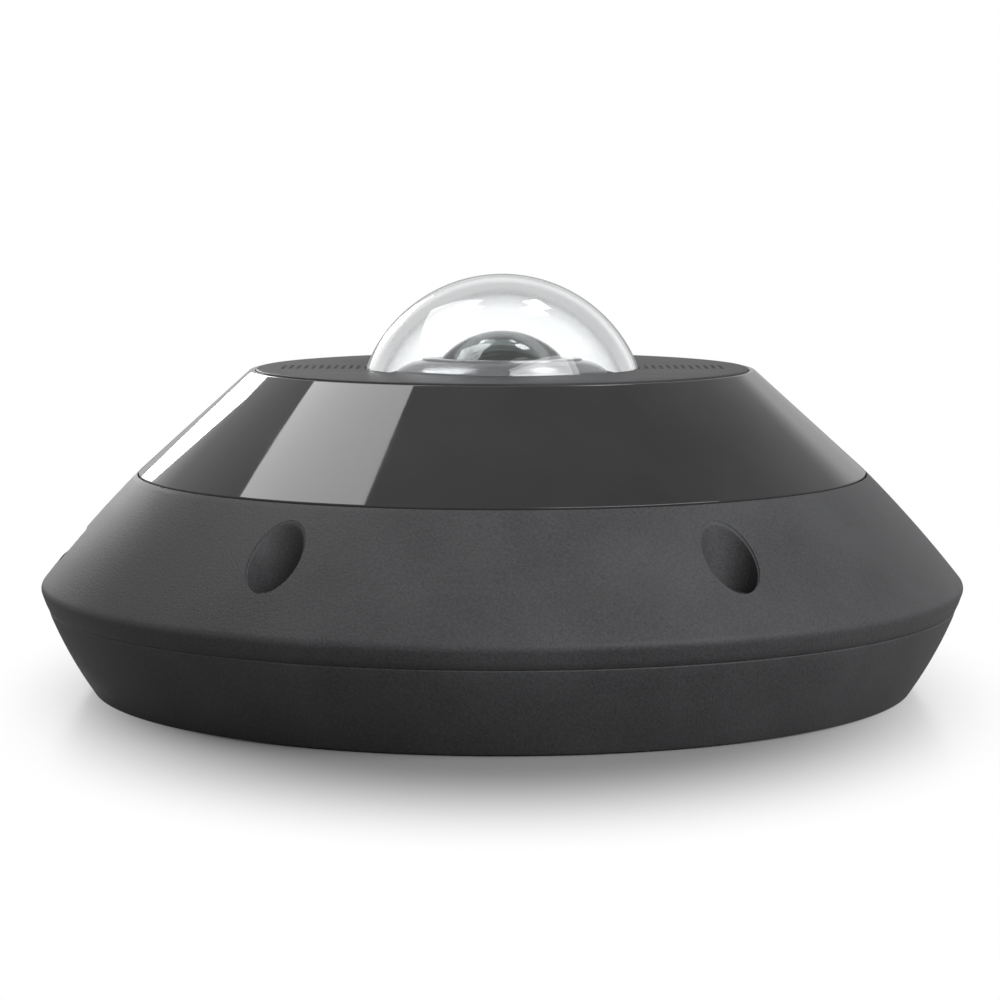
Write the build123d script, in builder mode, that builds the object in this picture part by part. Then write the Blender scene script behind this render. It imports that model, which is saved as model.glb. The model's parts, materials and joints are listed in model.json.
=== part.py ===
# Fisheye network camera: a sealed outdoor housing with one very wide lens under a clear bubble.
# Millimetres. The origin is the centre of the mounting face, +Z points through the bubble,
# and the side that faces the viewer is -Y.

import os
from math import asin, atan2, cos, degrees, radians, sin, sqrt

from build123d import *

os.makedirs("parts", exist_ok=True)

# Outer form of the two castings and the glossy ring, from the shoulder outwards
shoulder_radius = 44.9
window_run = 19.8
cone_run = 17.5
rim_height = 18.4
foot_inset = 9.2
parting_height = 14.7
flank_bulge = 0.75
brow_bulge = 0.4
rim_fillet = 1.6
parting_chamfer = 0.2
casting_wall = 3.0
floor_thickness = 3.0

# Seal between base and cover
seal_wall_inset = 11.0
seal_wall_thickness = 7.0
seal_groove_inset = 2.0
seal_groove_width = 3.0
seal_groove_depth = 2.2
seal_thickness = 1.2
seal_clearance = 0.3

# Cover screws in their wells
well_offset = 3.2
well_radius = 4.5
well_wall = 2.0
well_angles = [60, 120, 240, 300]
well_floor_thickness = 4.8
well_mouth_fillet = 0.5
cover_screw_radius = 2.0
cover_screw_bite = 8.5
cover_screw_head_radius = 3.5
cover_screw_head_height = 4.0
cover_screw_key_radius = 1.7
screw_seal_thickness = 0.8
tapped_hole_spare = 1.2
thread_clearance = 0.05
hole_clearance = 0.2
edge_match = 0.02

# Bare recess on the left flank of the cover
recess_angle = 180.0
recess_half_angle = 7.5
recess_low_height = 22.6
recess_high_height = 28.1
recess_depth = 0.41

# Bare recess for a label under the base
label_size = (46.0, 22.0)
label_centre = (0.0, -34.0)
label_depth = 0.4
label_corner = 2.0

# Glossy ring, with the deck that carries faceplate and bubble
window_wall = 2.6
window_seat_width = 6.2
window_gasket_thickness = 0.6
window_edge_height = 2.6
ledge_thickness = 2.5
window_gap = 0.15
deck_thickness = 2.5
shoulder_fillet = 0.45
window_screw_inset = 2.8
window_screw_radius = 1.25
window_screw_head_radius = 2.2
window_screw_head_height = 1.6
window_screw_bite = 3.2
window_screw_count = 6

# Faceplate and its fields of small holes
face_lip = 1.0
face_gap = 0.12
face_rise = 0.3
face_thickness = 1.4
face_fillet = 0.35
grille_hole_radius = 0.38
grille_margin = 0.7
grille_pitch = 1.33
grille_edge_margin = 4.5
grille_rows = 7
mesh_thickness = 0.25
mesh_margin = 0.8

# Clear bubble and its clamp
dome_offset = 7.4
dome_rise = 16.6
dome_wall = 3.0
dome_gap = 0.15
dome_flange_reach = 3.2
dome_flange_thickness = 2.5
dome_gasket_thickness = 0.5
clamp_thickness = 2.5
clamp_bore_margin = 1.0
clamp_ear_offset = 3.0
clamp_ear_radius = 3.4
clamp_boss_radius = 2.6
clamp_boss_gap = 0.2
clamp_screw_radius = 1.25
clamp_screw_head_radius = 2.2
clamp_screw_head_height = 1.6
clamp_screw_bite = 4.0
clamp_angles = [45, 135, 225, 315]
small_key_radius = 0.9
blind_hole_spare = 0.3

# Holes in the floor
mount_inset = 3.5
mount_hole_radius = 2.25
mount_pad_radius = 6.0
mount_pad_height = 2.0
mount_angles = [45, 135, 225, 315]
cable_hole_radius = 8.0
cable_bore_radius = 3.0
grommet_flange = 2.5
grommet_flange_height = 2.0
grommet_leg_gap = 1.9
plug_lift = 0.6
vent_hole_radius = 4.0
vent_offset = 22.0
vent_flange = 1.5
vent_flange_height = 1.2
vent_bore_radius = 1.2
press_clearance = 0.02

# Main board and what stands on it
board_leg_gap = 2.4
board_flat = 24.0
board_thickness = 1.6
board_standoff = 7.0
board_post_radius = 3.0
board_screw_inset = 12.0
board_screw_rows = 36.0
board_screw_centre = (0.0, -4.0)
board_screw_radius = 1.25
board_screw_bite = 5.0
pan_head_radius = 2.4
pan_head_height = 1.7
processor_size = 15.0
processor_thickness = 1.6
processor_place = (-3.0, -6.0)
thermal_pad_thickness = 1.0
pedestal_margin = 1.0
memory_chip_size = (10.0, 8.0)
memory_chip_thickness = 1.1
memory_chip_inset = 12.0
memory_chip_pitch = 12.0
transformer_size = (13.0, 10.0)
transformer_inset = 13.0
transformer_centre_y = 3.0
transformer_base_height = 2.0
transformer_coil_height = 4.5
transformer_core_height = 1.5
transformer_coil_inset = 1.5
capacitor_radius = 3.1
capacitor_height = 8.0
capacitor_fillet = 0.5
capacitor_inset = 6.0
capacitor_pitch = 7.2
capacitor_centre_y = 3.0
jack_size = (16.0, 16.5)
jack_height = 13.0
jack_overhang = 0.5
jack_gap = 1.0
jack_centre_x = -14.0
jack_mouth_size = (11.8, 12.0)
jack_mouth_height = 7.2
jack_mouth_sill = 2.4
jack_latch_width = 6.0
jack_latch_height = 1.6
terminal_pitch = 3.0
terminal_ways = 6
terminal_depth = 10.0
terminal_height = 9.5
terminal_inset = 30.0
terminal_hole_size = (2.0, 5.0)
terminal_hole_height = 2.4
terminal_hole_sill = 2.0
terminal_screw_radius = 1.0
terminal_screw_depth = 3.0

# Memory card in its socket
card_length = 15.0
card_width = 11.0
card_thickness = 1.0
card_centre_y = -11.8
card_rest_overhang = 1.6
card_clearance = 0.15
card_corner = 1.0
card_grip_width = 6.6
card_grip_depth = 0.3
socket_wall = 0.5
socket_inset = 10.0

# Reset switch
switch_size = 6.0
switch_height = 3.1
switch_place = (-28.0, -14.0)
plunger_radius = 1.7
plunger_rise = 1.2
plunger_depth = 1.7
plunger_travel = 0.25
plunger_stop_gap = 0.15
plunger_fillet = 0.3

# Frame that carries the lens, the infrared board, the speaker and the microphone
frame_drop = 0.5
frame_deck_thickness = 2.0
frame_clearance = 1.0
frame_bore_radius = 12.0
frame_leg_inset = 4.5
frame_leg_radius = 4.6
frame_leg_angles = [0, 90, 180, 270]
pillar_height = 9.0
frame_screw_radius = 1.5
frame_screw_head_radius = 2.75
frame_screw_head_height = 2.5
frame_screw_key_radius = 1.4
frame_screw_bite = 7.0
frame_leg_floor = 3.5
frame_counterbore_margin = 0.4
driver_notch_radius = 4.5
sensor_boss_radius = 2.5

# Sensor board and the filter changer
sensor_drop = 7.0
sensor_board_size = (36.0, 44.0)
sensor_board_centre_y = 3.0
sensor_board_thickness = 1.6
sensor_screw_inset = 3.0
sensor_screw_radius = 1.0
sensor_screw_bite = 4.0
sensor_screw_head_radius = 1.9
sensor_screw_head_height = 1.4
image_sensor_size = 8.0
image_sensor_thickness = 1.4
image_sensor_margin = 0.5
filter_travel = 9.2
filter_window = 7.0
filter_glass_size = 8.2
filter_glass_thickness = 0.6
filter_bar = 1.2
filter_thickness = 1.2
filter_clearance = 0.15
filter_end_clearance = 0.3
filter_shelf_height = 3.0
filter_headroom = 1.0
lens_mount_wall = 1.2
lens_mount_neck_wall = 1.75
lens_mount_neck_height = 5.0
rotor_axis_y = 18.0
rotor_swing = 50.0
rotor_magnet_radius = 2.5
rotor_bore_clearance = 0.08
rotor_floor_gap = 0.5
rotor_arm_thickness = 0.8
rotor_arm_half_width = 1.2
rotor_arm_lift = 0.4
rotor_pin_radius = 0.6
rotor_pin_clearance = 0.2
motor_size = (10.0, 8.0)

# Lens
lens_thread_radius = 6.0
lens_thread_lift = 0.5
lock_ring_radius = 9.0
lock_ring_thickness = 2.0
lock_ring_gap = 0.3
barrel_radius = 13.4
barrel_shoulder_gap = 3.7
barrel_floor = 1.5
barrel_thread_bore = 4.6
barrel_bore = 8.5
lens_rise = 6.5
lens_cap_height = 4.9
lens_cap_radius = 10.9
lens_rim_radius = 11.6
lens_rim_height = 1.9
lens_hollow_radius = 7.6
lens_hollow_depth = 4.6
lens_clearance = 0.05
rear_lens_thickness = 3.5
rear_lens_bulge = 0.9
rear_lens_lift = 0.5
middle_lens_thickness = 4.0
middle_lens_dish = 1.2
front_lens_gap = 3.85
retainer_thickness = 0.5
retainer_radius = 14.3
retainer_skirt = 1.5
retainer_fillet = 0.15
shroud_radius = 18.7
shroud_brow_drop = 1.75
shroud_brow_bulge = 0.35
shroud_seam = 0.35
shroud_clearance = 0.1

# Black well between the brushed cone and the bubble
well_depth = 6.3
baffle_wall = 1.4
baffle_gap = 0.75
baffle_rim_height = 1.6

# Infrared board
led_board_width = 14.5
led_board_thickness = 1.6
led_inset = 8.0
led_angles = [22.5, 67.5, 112.5, 157.5, 202.5, 247.5, 292.5, 337.5]
led_base_size = 3.6
led_base_thickness = 1.6
led_lens_radius = 1.6
led_screw_inset = 11.5
led_screw_bite = 1.7
led_tab_width = 8.0
led_tab_margin = 3.3
led_tab_root = 1.0
light_sensor_size = 2.0
light_sensor_thickness = 1.0
guide_inset = 2.1
guide_head_width = 3.4
guide_head_depth = 1.2
guide_flange_width = 0.6
guide_flange_thickness = 0.8
guide_rod_radius = 0.9
guide_sensor_gap = 0.5
guide_clearance = 0.05

# Speaker and microphone
speaker_size = (10.0, 14.0)
speaker_thickness = 5.0
speaker_cone_radius = 4.0
speaker_cone_depth = 0.8
speaker_port_depth = 9.0
speaker_port_inset = 1.4
speaker_seal_thickness = 1.1
speaker_seal_width = 1.2
speaker_gap = 0.8
tower_wall = 1.2
microphone_radius = 3.0
microphone_height = 3.2
boot_wall = 1.2
boot_height = 6.0
boot_floor = 0.8
microphone_port_radius = 1.2
pad_clearance = 0.3

# Flat cable between the two boards
flat_cable_width = 10.0
flat_cable_thickness = 0.3
flat_cable_bend = 3.0
flat_cable_reach = 7.0
cable_socket_size = (12.0, 4.0)
cable_socket_height = 2.0
cable_socket_y = -15.0

# Radii of the outer form, and of what stands inside it
seam_radius = shoulder_radius + window_run
rim_radius = seam_radius + cone_run
foot_radius = rim_radius - foot_inset
seal_wall_radius = foot_radius - seal_wall_inset
seal_wall_outer = seal_wall_radius + seal_wall_thickness
well_circle_radius = seal_wall_outer + well_offset
window_seat_radius = seam_radius - window_seat_width
window_screw_circle = window_seat_radius + window_screw_inset
frame_radius = window_seat_radius - frame_clearance
frame_leg_circle = frame_radius - frame_leg_inset
mount_circle_radius = frame_radius - mount_inset
board_radius = frame_leg_circle - frame_leg_radius - board_leg_gap
led_board_inner_radius = frame_radius - led_board_width
led_circle_radius = frame_radius - led_inset
led_screw_circle = frame_radius - led_screw_inset
dome_radius = shroud_radius + dome_offset

# Heights of the boards, the frame and the lens, stacked from the floor upwards
board_bottom = floor_thickness + board_standoff
board_top = board_bottom + board_thickness
sensor_board_bottom = board_top + jack_height + jack_gap + sensor_screw_head_height
sensor_board_top = sensor_board_bottom + sensor_board_thickness
frame_deck_bottom = sensor_board_top + sensor_drop
frame_deck_top = frame_deck_bottom + frame_deck_thickness
frame_leg_bottom = floor_thickness + pillar_height
frame_screw_seat = frame_leg_bottom + frame_leg_floor
filter_shelf = sensor_board_top + filter_shelf_height
filter_bottom = filter_shelf + filter_clearance
filter_top = filter_bottom + filter_thickness
mount_roof_bottom = filter_top + filter_headroom
mount_roof_top = mount_roof_bottom + lens_mount_wall
neck_top = mount_roof_top + lens_mount_neck_height
lock_ring_bottom = neck_top + lock_ring_gap
lock_ring_top = lock_ring_bottom + lock_ring_thickness
barrel_shoulder = lock_ring_top + barrel_shoulder_gap
barrel_bottom = mount_roof_bottom + lens_thread_lift
bore_step = barrel_shoulder + barrel_floor
lens_rim_bottom = bore_step + middle_lens_thickness + front_lens_gap
barrel_top = lens_rim_bottom + lens_rim_height
lens_cap_base = barrel_top + retainer_thickness
lens_top = lens_cap_base + lens_cap_height

# Heights of the outer form, from what it holds
seam_height = frame_deck_top + frame_drop
face_height = lens_top - lens_rise
shoulder_height = face_height - face_rise
well_floor = parting_height + well_floor_thickness
cover_screw_seat = well_floor + screw_seal_thickness
window_seat_height = seam_height - window_edge_height
ledge_top = window_seat_height - window_gasket_thickness
ledge_bottom = ledge_top - ledge_thickness
deck_top = face_height - face_thickness
deck_bottom = deck_top - deck_thickness
dome_centre = face_height + dome_rise - dome_radius
flange_top = deck_bottom - dome_gasket_thickness
flange_bottom = flange_top - dome_flange_thickness
baffle_floor = face_height - well_depth
led_board_top = frame_deck_top + led_board_thickness
rotor_arm_bottom = filter_top + rotor_arm_lift
speaker_bottom = deck_bottom - pad_clearance - speaker_seal_thickness - speaker_thickness
boot_bottom = deck_bottom - pad_clearance - boot_height


def dome_reach(height, sphere_radius):
    """Radius of a sphere about the bubble's centre, at one height."""
    return sqrt(sphere_radius ** 2 - (height - dome_centre) ** 2)


def flank_radius(height):
    """Radius of the lower flank's straight chord at one height."""
    return foot_radius + (rim_radius - foot_radius) * height / rim_height


def brow_radius(height):
    """Radius of the matte cone's straight chord at one height."""
    return rim_radius - (rim_radius - seam_radius) * (height - rim_height) / (seam_height - rim_height)


def window_radius(height):
    """Radius of the glossy ring's outer face at one height."""
    run = (seam_radius - shoulder_radius) * (height - seam_height)
    return seam_radius - run / (shoulder_height - seam_height)


def polar_spots(radius, angles):
    """Points on a circle about the axis."""
    return [(radius * cos(radians(angle)), radius * sin(radians(angle))) for angle in angles]


def grid_spots(span, centre):
    """The four corners of a rectangle of screws."""
    across = [centre[0] - span[0] / 2, centre[0] + span[0] / 2]
    along = [centre[1] - span[1] / 2, centre[1] + span[1] / 2]
    return [(x, y) for x in across for y in along]


def bulged_middle(start, end, bulge):
    """Middle of a chord, pushed by the bulge to the right of its direction."""
    run = end[0] - start[0]
    rise = end[1] - start[1]
    chord = sqrt(run ** 2 + rise ** 2)
    middle = ((start[0] + end[0]) / 2, (start[1] + end[1]) / 2)
    return (middle[0] + bulge * rise / chord, middle[1] - bulge * run / chord)


# Widths and spots that follow from the sizes above
slope_run = seam_radius - shoulder_radius
slope_rise = shoulder_height - seam_height
window_drop = window_wall * sqrt(slope_run ** 2 + slope_rise ** 2) / slope_run
face_radius = shoulder_radius - face_lip
dome_face_radius = dome_reach(face_height, dome_radius)
dome_neck_radius = dome_reach(flange_top, dome_radius)
dome_hole_radius = dome_reach(deck_top, dome_radius + dome_gap)
flange_radius = dome_neck_radius + dome_flange_reach
baffle_radius = dome_reach(flange_bottom, dome_radius - dome_wall) - baffle_gap
clamp_bore_radius = baffle_radius + clamp_bore_margin
speaker_centre_x = flange_radius + speaker_gap + speaker_size[0] / 2
grille_start = dome_hole_radius + grille_margin
grille_columns = int((face_radius - grille_edge_margin - grille_start) / grille_pitch) + 1
groove_inner = seal_wall_radius + seal_groove_inset
groove_outer = groove_inner + seal_groove_width
well_spots = polar_spots(well_circle_radius, well_angles)
mount_spots = polar_spots(mount_circle_radius, mount_angles)
leg_spots = polar_spots(frame_leg_circle, frame_leg_angles)
led_screw_spots = polar_spots(led_screw_circle, frame_leg_angles)
window_screw_angles = [360 / window_screw_count * i for i in range(window_screw_count)]
window_screw_spots = polar_spots(window_screw_circle, window_screw_angles)
clamp_spots = polar_spots(flange_radius + clamp_ear_offset, clamp_angles)
cable_hole_y = frame_leg_circle - frame_leg_radius - grommet_leg_gap - grommet_flange - cable_hole_radius
cable_hole_place = (0, cable_hole_y)
vent_place = (vent_offset, cable_hole_y)
board_spots = grid_spots((2 * (board_radius - board_screw_inset), board_screw_rows), board_screw_centre)
memory_chip_places = [(memory_chip_pitch * step, memory_chip_inset - board_radius) for step in (-1, 0, 1)]
transformer_place = (board_radius - transformer_inset, transformer_centre_y)
capacitor_x = capacitor_inset - board_radius
capacitor_rows = (capacitor_centre_y, capacitor_centre_y - capacitor_pitch)
capacitor_places = [(capacitor_x, row) for row in capacitor_rows]
capacitor_places += [(capacitor_x + capacitor_pitch, capacitor_centre_y)]
terminal_centre_x = board_radius - terminal_inset
socket_face_x = board_radius - socket_inset
sensor_span = [side - 2 * sensor_screw_inset for side in sensor_board_size]
sensor_spots = grid_spots(sensor_span, (0, sensor_board_centre_y))
guide_spot = (0, guide_inset - face_radius)


def finish(piece, name):
    """Name the piece and write it."""
    piece.label = name
    export_step(piece, "parts/" + name + ".step")


def body_profile(low, high):
    """Half outline of the castings between two heights, cut from the whole one with its rounded rim."""
    foot = (foot_radius, 0)
    rim = (rim_radius, rim_height)
    seam = (seam_radius, seam_height)
    with BuildSketch(Plane.XZ) as profile:
        with BuildLine():
            Line((0, 0), foot)
            ThreePointArc(foot, bulged_middle(foot, rim, flank_bulge), rim)
            ThreePointArc(rim, bulged_middle(rim, seam, brow_bulge), seam)
            Line(seam, (0, seam_height))
            Line((0, seam_height), (0, 0))
        make_face()
        fillet(profile.vertices().sort_by(Axis.X)[-1], rim_fillet)
        with Locations((0, low)):
            Rectangle(rim_radius, high - low, align=(Align.MIN, Align.MIN), mode=Mode.INTERSECT)
    return profile.sketch


def casting(low, high, mode=Mode.ADD):
    """The castings' whole outer form between two heights."""
    revolve(body_profile(low, high), axis=Axis.Z, mode=mode)


def turned(points, mode=Mode.ADD):
    """A turned form from its closed half outline of radius and height pairs."""
    with BuildSketch(Plane.XZ) as profile:
        with BuildLine():
            Polyline(*points, close=True)
        make_face()
    revolve(profile.sketch, axis=Axis.Z, mode=mode)


def ring(inner, outer, low, high, mode=Mode.ADD):
    """A plain ring about the axis between two heights."""
    with BuildSketch(Plane.XY.offset(low)) as outline:
        Circle(outer)
        Circle(inner, mode=Mode.SUBTRACT)
    extrude(outline.sketch, amount=high - low, mode=mode)


def posts(spots, radius, low, high, mode=Mode.ADD):
    """Round posts at the given spots between two heights."""
    with BuildSketch(Plane.XY.offset(low)) as outline:
        with Locations(*spots):
            Circle(radius)
    extrude(outline.sketch, amount=high - low, mode=mode)


def holes(spots, radius, low, high):
    """Round holes at the given spots between two heights."""
    posts(spots, radius, low, high, mode=Mode.SUBTRACT)


def block(size, centre, low, high, mode=Mode.ADD, corner=0):
    """A rectangular block between two heights, with rounded corners if a radius is given."""
    with BuildSketch(Plane.XY.offset(low)) as outline:
        with Locations(centre):
            if corner:
                RectangleRounded(size[0], size[1], corner)
            else:
                Rectangle(size[0], size[1])
    extrude(outline.sketch, amount=high - low, mode=mode)


def pocket(size, centre, low, high, corner=0):
    """A rectangular pocket between two heights."""
    block(size, centre, low, high, mode=Mode.SUBTRACT, corner=corner)


def slot(width, depth, centre, low, high, mode=Mode.ADD):
    """A bar with round ends, or a slot for one, between two heights."""
    with BuildSketch(Plane.XY.offset(low)) as outline:
        with Locations(centre):
            SlotOverall(width, depth)
    extrude(outline.sketch, amount=high - low, mode=mode)


def screws(spots, seat, up, head_radius, head_height, shank_radius, shank_length, key_radius):
    """Screws whose heads stand on the seat: above it where up is 1, and below it where up is -1."""
    posts(spots, head_radius, seat, seat + up * head_height)
    posts(spots, shank_radius, seat, seat - up * shank_length)
    with BuildSketch(Plane.XY.offset(seat + up * head_height)) as keys:
        with Locations(*spots):
            RegularPolygon(key_radius, 6)
    extrude(keys.sketch, amount=-up * head_height / 2, mode=Mode.SUBTRACT)


def cap_middle(apex_height, edge_radius, edge_height):
    """Point half way along a spherical cap, from its apex on the axis to its edge."""
    sag = apex_height - edge_height
    sphere = (edge_radius ** 2 + sag ** 2) / (2 * sag)
    half_angle = asin(edge_radius / abs(sphere)) / 2
    return (abs(sphere) * sin(half_angle), apex_height - sphere * (1 - cos(half_angle)))


def glass(radius, low, low_edge, high_edge, high):
    """A round glass, from the heights of its two curved faces on the axis and at the rim."""
    with BuildSketch(Plane.XZ) as profile:
        with BuildLine():
            ThreePointArc((0, low), cap_middle(low, radius, low_edge), (radius, low_edge))
            Line((radius, low_edge), (radius, high_edge))
            ThreePointArc((radius, high_edge), cap_middle(high, radius, high_edge), (0, high))
            Line((0, high), (0, low))
        make_face()
    revolve(profile.sketch, axis=Axis.Z)


def bubble_ball(radius, mode=Mode.ADD):
    """A ball about the bubble's centre."""
    with Locations((0, 0, dome_centre)):
        Sphere(radius, mode=mode)


def grille_spots():
    """Holes of both fields, in columns that step half a pitch sideways in turn."""
    spots = []
    for column in range(grille_columns):
        reach = grille_start + grille_pitch * column
        shift = grille_pitch / 4 if column % 2 else -grille_pitch / 4
        for row in range(grille_rows):
            depth = grille_pitch * (row - (grille_rows - 1) / 2) + shift
            spots += [(reach, depth), (-reach, depth)]
    return spots


def is_well_mouth(edge):
    """True for the curved edges where a screw well breaks out of the matte cone."""
    middle = edge @ 0.5
    reaches = [sqrt((middle.X - x) ** 2 + (middle.Y - y) ** 2) for x, y in well_spots]
    on_wall = min(abs(reach - well_radius) for reach in reaches) < edge_match
    return on_wall and middle.Z > well_floor + well_mouth_fillet and edge.geom_type != GeomType.LINE


def flank_recess():
    """The shallow recess's cutter, a short arc of a band that follows the matte cone."""
    chord = sqrt((rim_radius - seam_radius) ** 2 + (seam_height - rim_height) ** 2)
    normal = ((seam_height - rim_height) / chord, (rim_radius - seam_radius) / chord)
    start = radians(recess_angle - recess_half_angle)
    rise = 2 * recess_depth
    corners = []
    for height in (recess_low_height, recess_high_height):
        along = (height - rim_height) / (seam_height - rim_height)
        lift = 4 * along * (1 - along) * brow_bulge - recess_depth
        corners.append((brow_radius(height) + lift * normal[0], height + lift * normal[1]))
    outer = [(x + rise * normal[0], z + rise * normal[1]) for x, z in reversed(corners)]
    plane = Plane((0, 0, 0), x_dir=(cos(start), sin(start), 0), z_dir=(sin(start), -cos(start), 0))
    with BuildPart() as cutter:
        with BuildSketch(plane):
            with BuildLine():
                Polyline(*corners, *outer, close=True)
            make_face()
        revolve(axis=Axis.Z, revolution_arc=2 * recess_half_angle)
    return cutter.part


def circle_edges(builder, radius, height):
    """Edges that are circles about the axis, of one radius at one height."""
    circles = builder.edges().filter_by(GeomType.CIRCLE)
    level = circles.filter_by(lambda edge: abs(edge.arc_center.Z - height) < edge_match)
    return level.filter_by(lambda edge: abs(edge.radius - radius) < edge_match)


def widest_circle(builder, height):
    """The largest circular edge at one height."""
    circles = builder.edges().filter_by(GeomType.CIRCLE)
    level = circles.filter_by(lambda edge: abs(edge.arc_center.Z - height) < edge_match)
    return level.sort_by(lambda edge: edge.radius)[-1]


# Base casting: a dish with a sealed wall, a dry pocket outside it and bosses for the cover screws
tapped_hole_floor = parting_height - cover_screw_bite - tapped_hole_spare
pedestal_top = board_bottom - processor_thickness - thermal_pad_thickness
pedestal_size = processor_size + 2 * pedestal_margin
with BuildPart() as base_housing:
    casting(0, parting_height)
    holes([(0, 0)], seal_wall_radius, floor_thickness, parting_height)
    pocket_low = (flank_radius(floor_thickness) - casting_wall, floor_thickness)
    pocket_high = (flank_radius(parting_height) - casting_wall, parting_height)
    pocket_inner = [(seal_wall_outer, parting_height), (seal_wall_outer, floor_thickness)]
    turned(pocket_inner + [pocket_low, pocket_high], mode=Mode.SUBTRACT)
    posts(well_spots, well_radius + well_wall, floor_thickness, parting_height)
    posts(mount_spots, mount_pad_radius, floor_thickness, floor_thickness + mount_pad_height)
    posts(board_spots, board_post_radius, floor_thickness, board_bottom)
    posts(leg_spots, frame_leg_radius, floor_thickness, frame_leg_bottom)
    block((pedestal_size, pedestal_size), processor_place, floor_thickness, pedestal_top)
    casting(0, parting_height, mode=Mode.INTERSECT)
    chamfer(widest_circle(base_housing, parting_height), parting_chamfer)
    ring(groove_inner, groove_outer, parting_height - seal_groove_depth, parting_height, mode=Mode.SUBTRACT)
    holes(well_spots, cover_screw_radius + thread_clearance, tapped_hole_floor, parting_height)
    holes(mount_spots, mount_hole_radius, 0, floor_thickness + mount_pad_height)
    board_thread_floor = board_bottom - board_screw_bite - blind_hole_spare
    holes(board_spots, board_screw_radius + thread_clearance, board_thread_floor, board_bottom)
    leg_thread_floor = frame_leg_bottom - frame_screw_bite - blind_hole_spare
    holes(leg_spots, frame_screw_radius + thread_clearance, leg_thread_floor, frame_leg_bottom)
    holes([cable_hole_place], cable_hole_radius, 0, floor_thickness)
    holes([vent_place], vent_hole_radius, 0, floor_thickness)
    pocket(label_size, label_centre, 0, label_depth, corner=label_corner)
finish(base_housing.part, "base_housing")

# Rubber seal in the base's groove
with BuildPart() as base_gasket:
    seal_bottom = parting_height - seal_groove_depth
    seal_top = seal_bottom + seal_thickness
    ring(groove_inner + press_clearance, groove_outer - press_clearance, seal_bottom, seal_top)
finish(base_gasket.part, "base_gasket")

# Rubber grommet in the cable hole
with BuildPart() as cable_grommet:
    grommet_top = floor_thickness + grommet_flange_height
    posts([cable_hole_place], cable_hole_radius - press_clearance, plug_lift, floor_thickness)
    posts([cable_hole_place], cable_hole_radius + grommet_flange, floor_thickness, grommet_top)
    holes([cable_hole_place], cable_bore_radius, 0, grommet_top)
finish(cable_grommet.part, "cable_grommet")

# Pressure vent pressed into the floor
with BuildPart() as breather_vent:
    vent_top = floor_thickness + vent_flange_height
    posts([vent_place], vent_hole_radius - press_clearance, plug_lift, floor_thickness)
    posts([vent_place], vent_hole_radius + vent_flange, floor_thickness, vent_top)
    holes([vent_place], vent_bore_radius, 0, floor_thickness)
finish(breather_vent.part, "breather_vent")

# Main board, cut flat at the back to leave a bay for the cable
with BuildPart() as main_board:
    posts([(0, 0)], board_radius, board_bottom, board_top)
    bay_size = (2 * board_radius, board_radius - board_flat)
    bay_centre = (0, board_flat + bay_size[1] / 2)
    pocket(bay_size, bay_centre, board_bottom, board_top)
    holes(board_spots, board_screw_radius + hole_clearance, board_bottom, board_top)
finish(main_board.part, "main_board")

with BuildPart() as board_screws:
    board_shank = board_thickness + board_screw_bite
    pan_head = (pan_head_radius, pan_head_height)
    screws(board_spots, board_top, 1, *pan_head, board_screw_radius, board_shank, small_key_radius)
finish(board_screws.part, "board_screws")

# Processor under the board, with a soft pad that carries its heat to the casting
processor_square = (processor_size, processor_size)
with BuildPart() as processor:
    block(processor_square, processor_place, board_bottom - processor_thickness, board_bottom)
finish(processor.part, "processor")

with BuildPart() as thermal_pad:
    block(processor_square, processor_place, pedestal_top, pedestal_top + thermal_pad_thickness)
finish(thermal_pad.part, "thermal_pad")

with BuildPart() as memory_chips:
    for chip_place in memory_chip_places:
        block(memory_chip_size, chip_place, board_top, board_top + memory_chip_thickness)
finish(memory_chips.part, "memory_chips")

# Power transformer: a base, a wound coil and a core plate on top
with BuildPart() as power_transformer:
    coil_bottom = board_top + transformer_base_height
    core_bottom = coil_bottom + transformer_coil_height
    coil_size = [side - 2 * transformer_coil_inset for side in transformer_size]
    block(transformer_size, transformer_place, board_top, coil_bottom)
    block(coil_size, transformer_place, coil_bottom, core_bottom, corner=transformer_coil_inset)
    block(transformer_size, transformer_place, core_bottom, core_bottom + transformer_core_height)
finish(power_transformer.part, "power_transformer")

with BuildPart() as filter_capacitors:
    posts(capacitor_places, capacitor_radius, board_top, board_top + capacitor_height)
    fillet(filter_capacitors.faces().filter_by(Axis.Z).group_by(Axis.Z)[-1].edges(), capacitor_fillet)
finish(filter_capacitors.part, "filter_capacitors")

# Network jack at the board's flat edge, its mouth towards the cable bay
with BuildPart() as network_jack:
    jack_front = board_flat + jack_overhang
    mouth_bottom = board_top + jack_mouth_sill
    mouth_top = mouth_bottom + jack_mouth_height
    mouth_centre = (jack_centre_x, jack_front - jack_mouth_size[1] / 2)
    latch_size = (jack_latch_width, jack_mouth_size[1])
    block(jack_size, (jack_centre_x, jack_front - jack_size[1] / 2), board_top, board_top + jack_height)
    pocket(jack_mouth_size, mouth_centre, mouth_bottom, mouth_top)
    pocket(latch_size, mouth_centre, mouth_top, mouth_top + jack_latch_height)
finish(network_jack.part, "network_jack")

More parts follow.
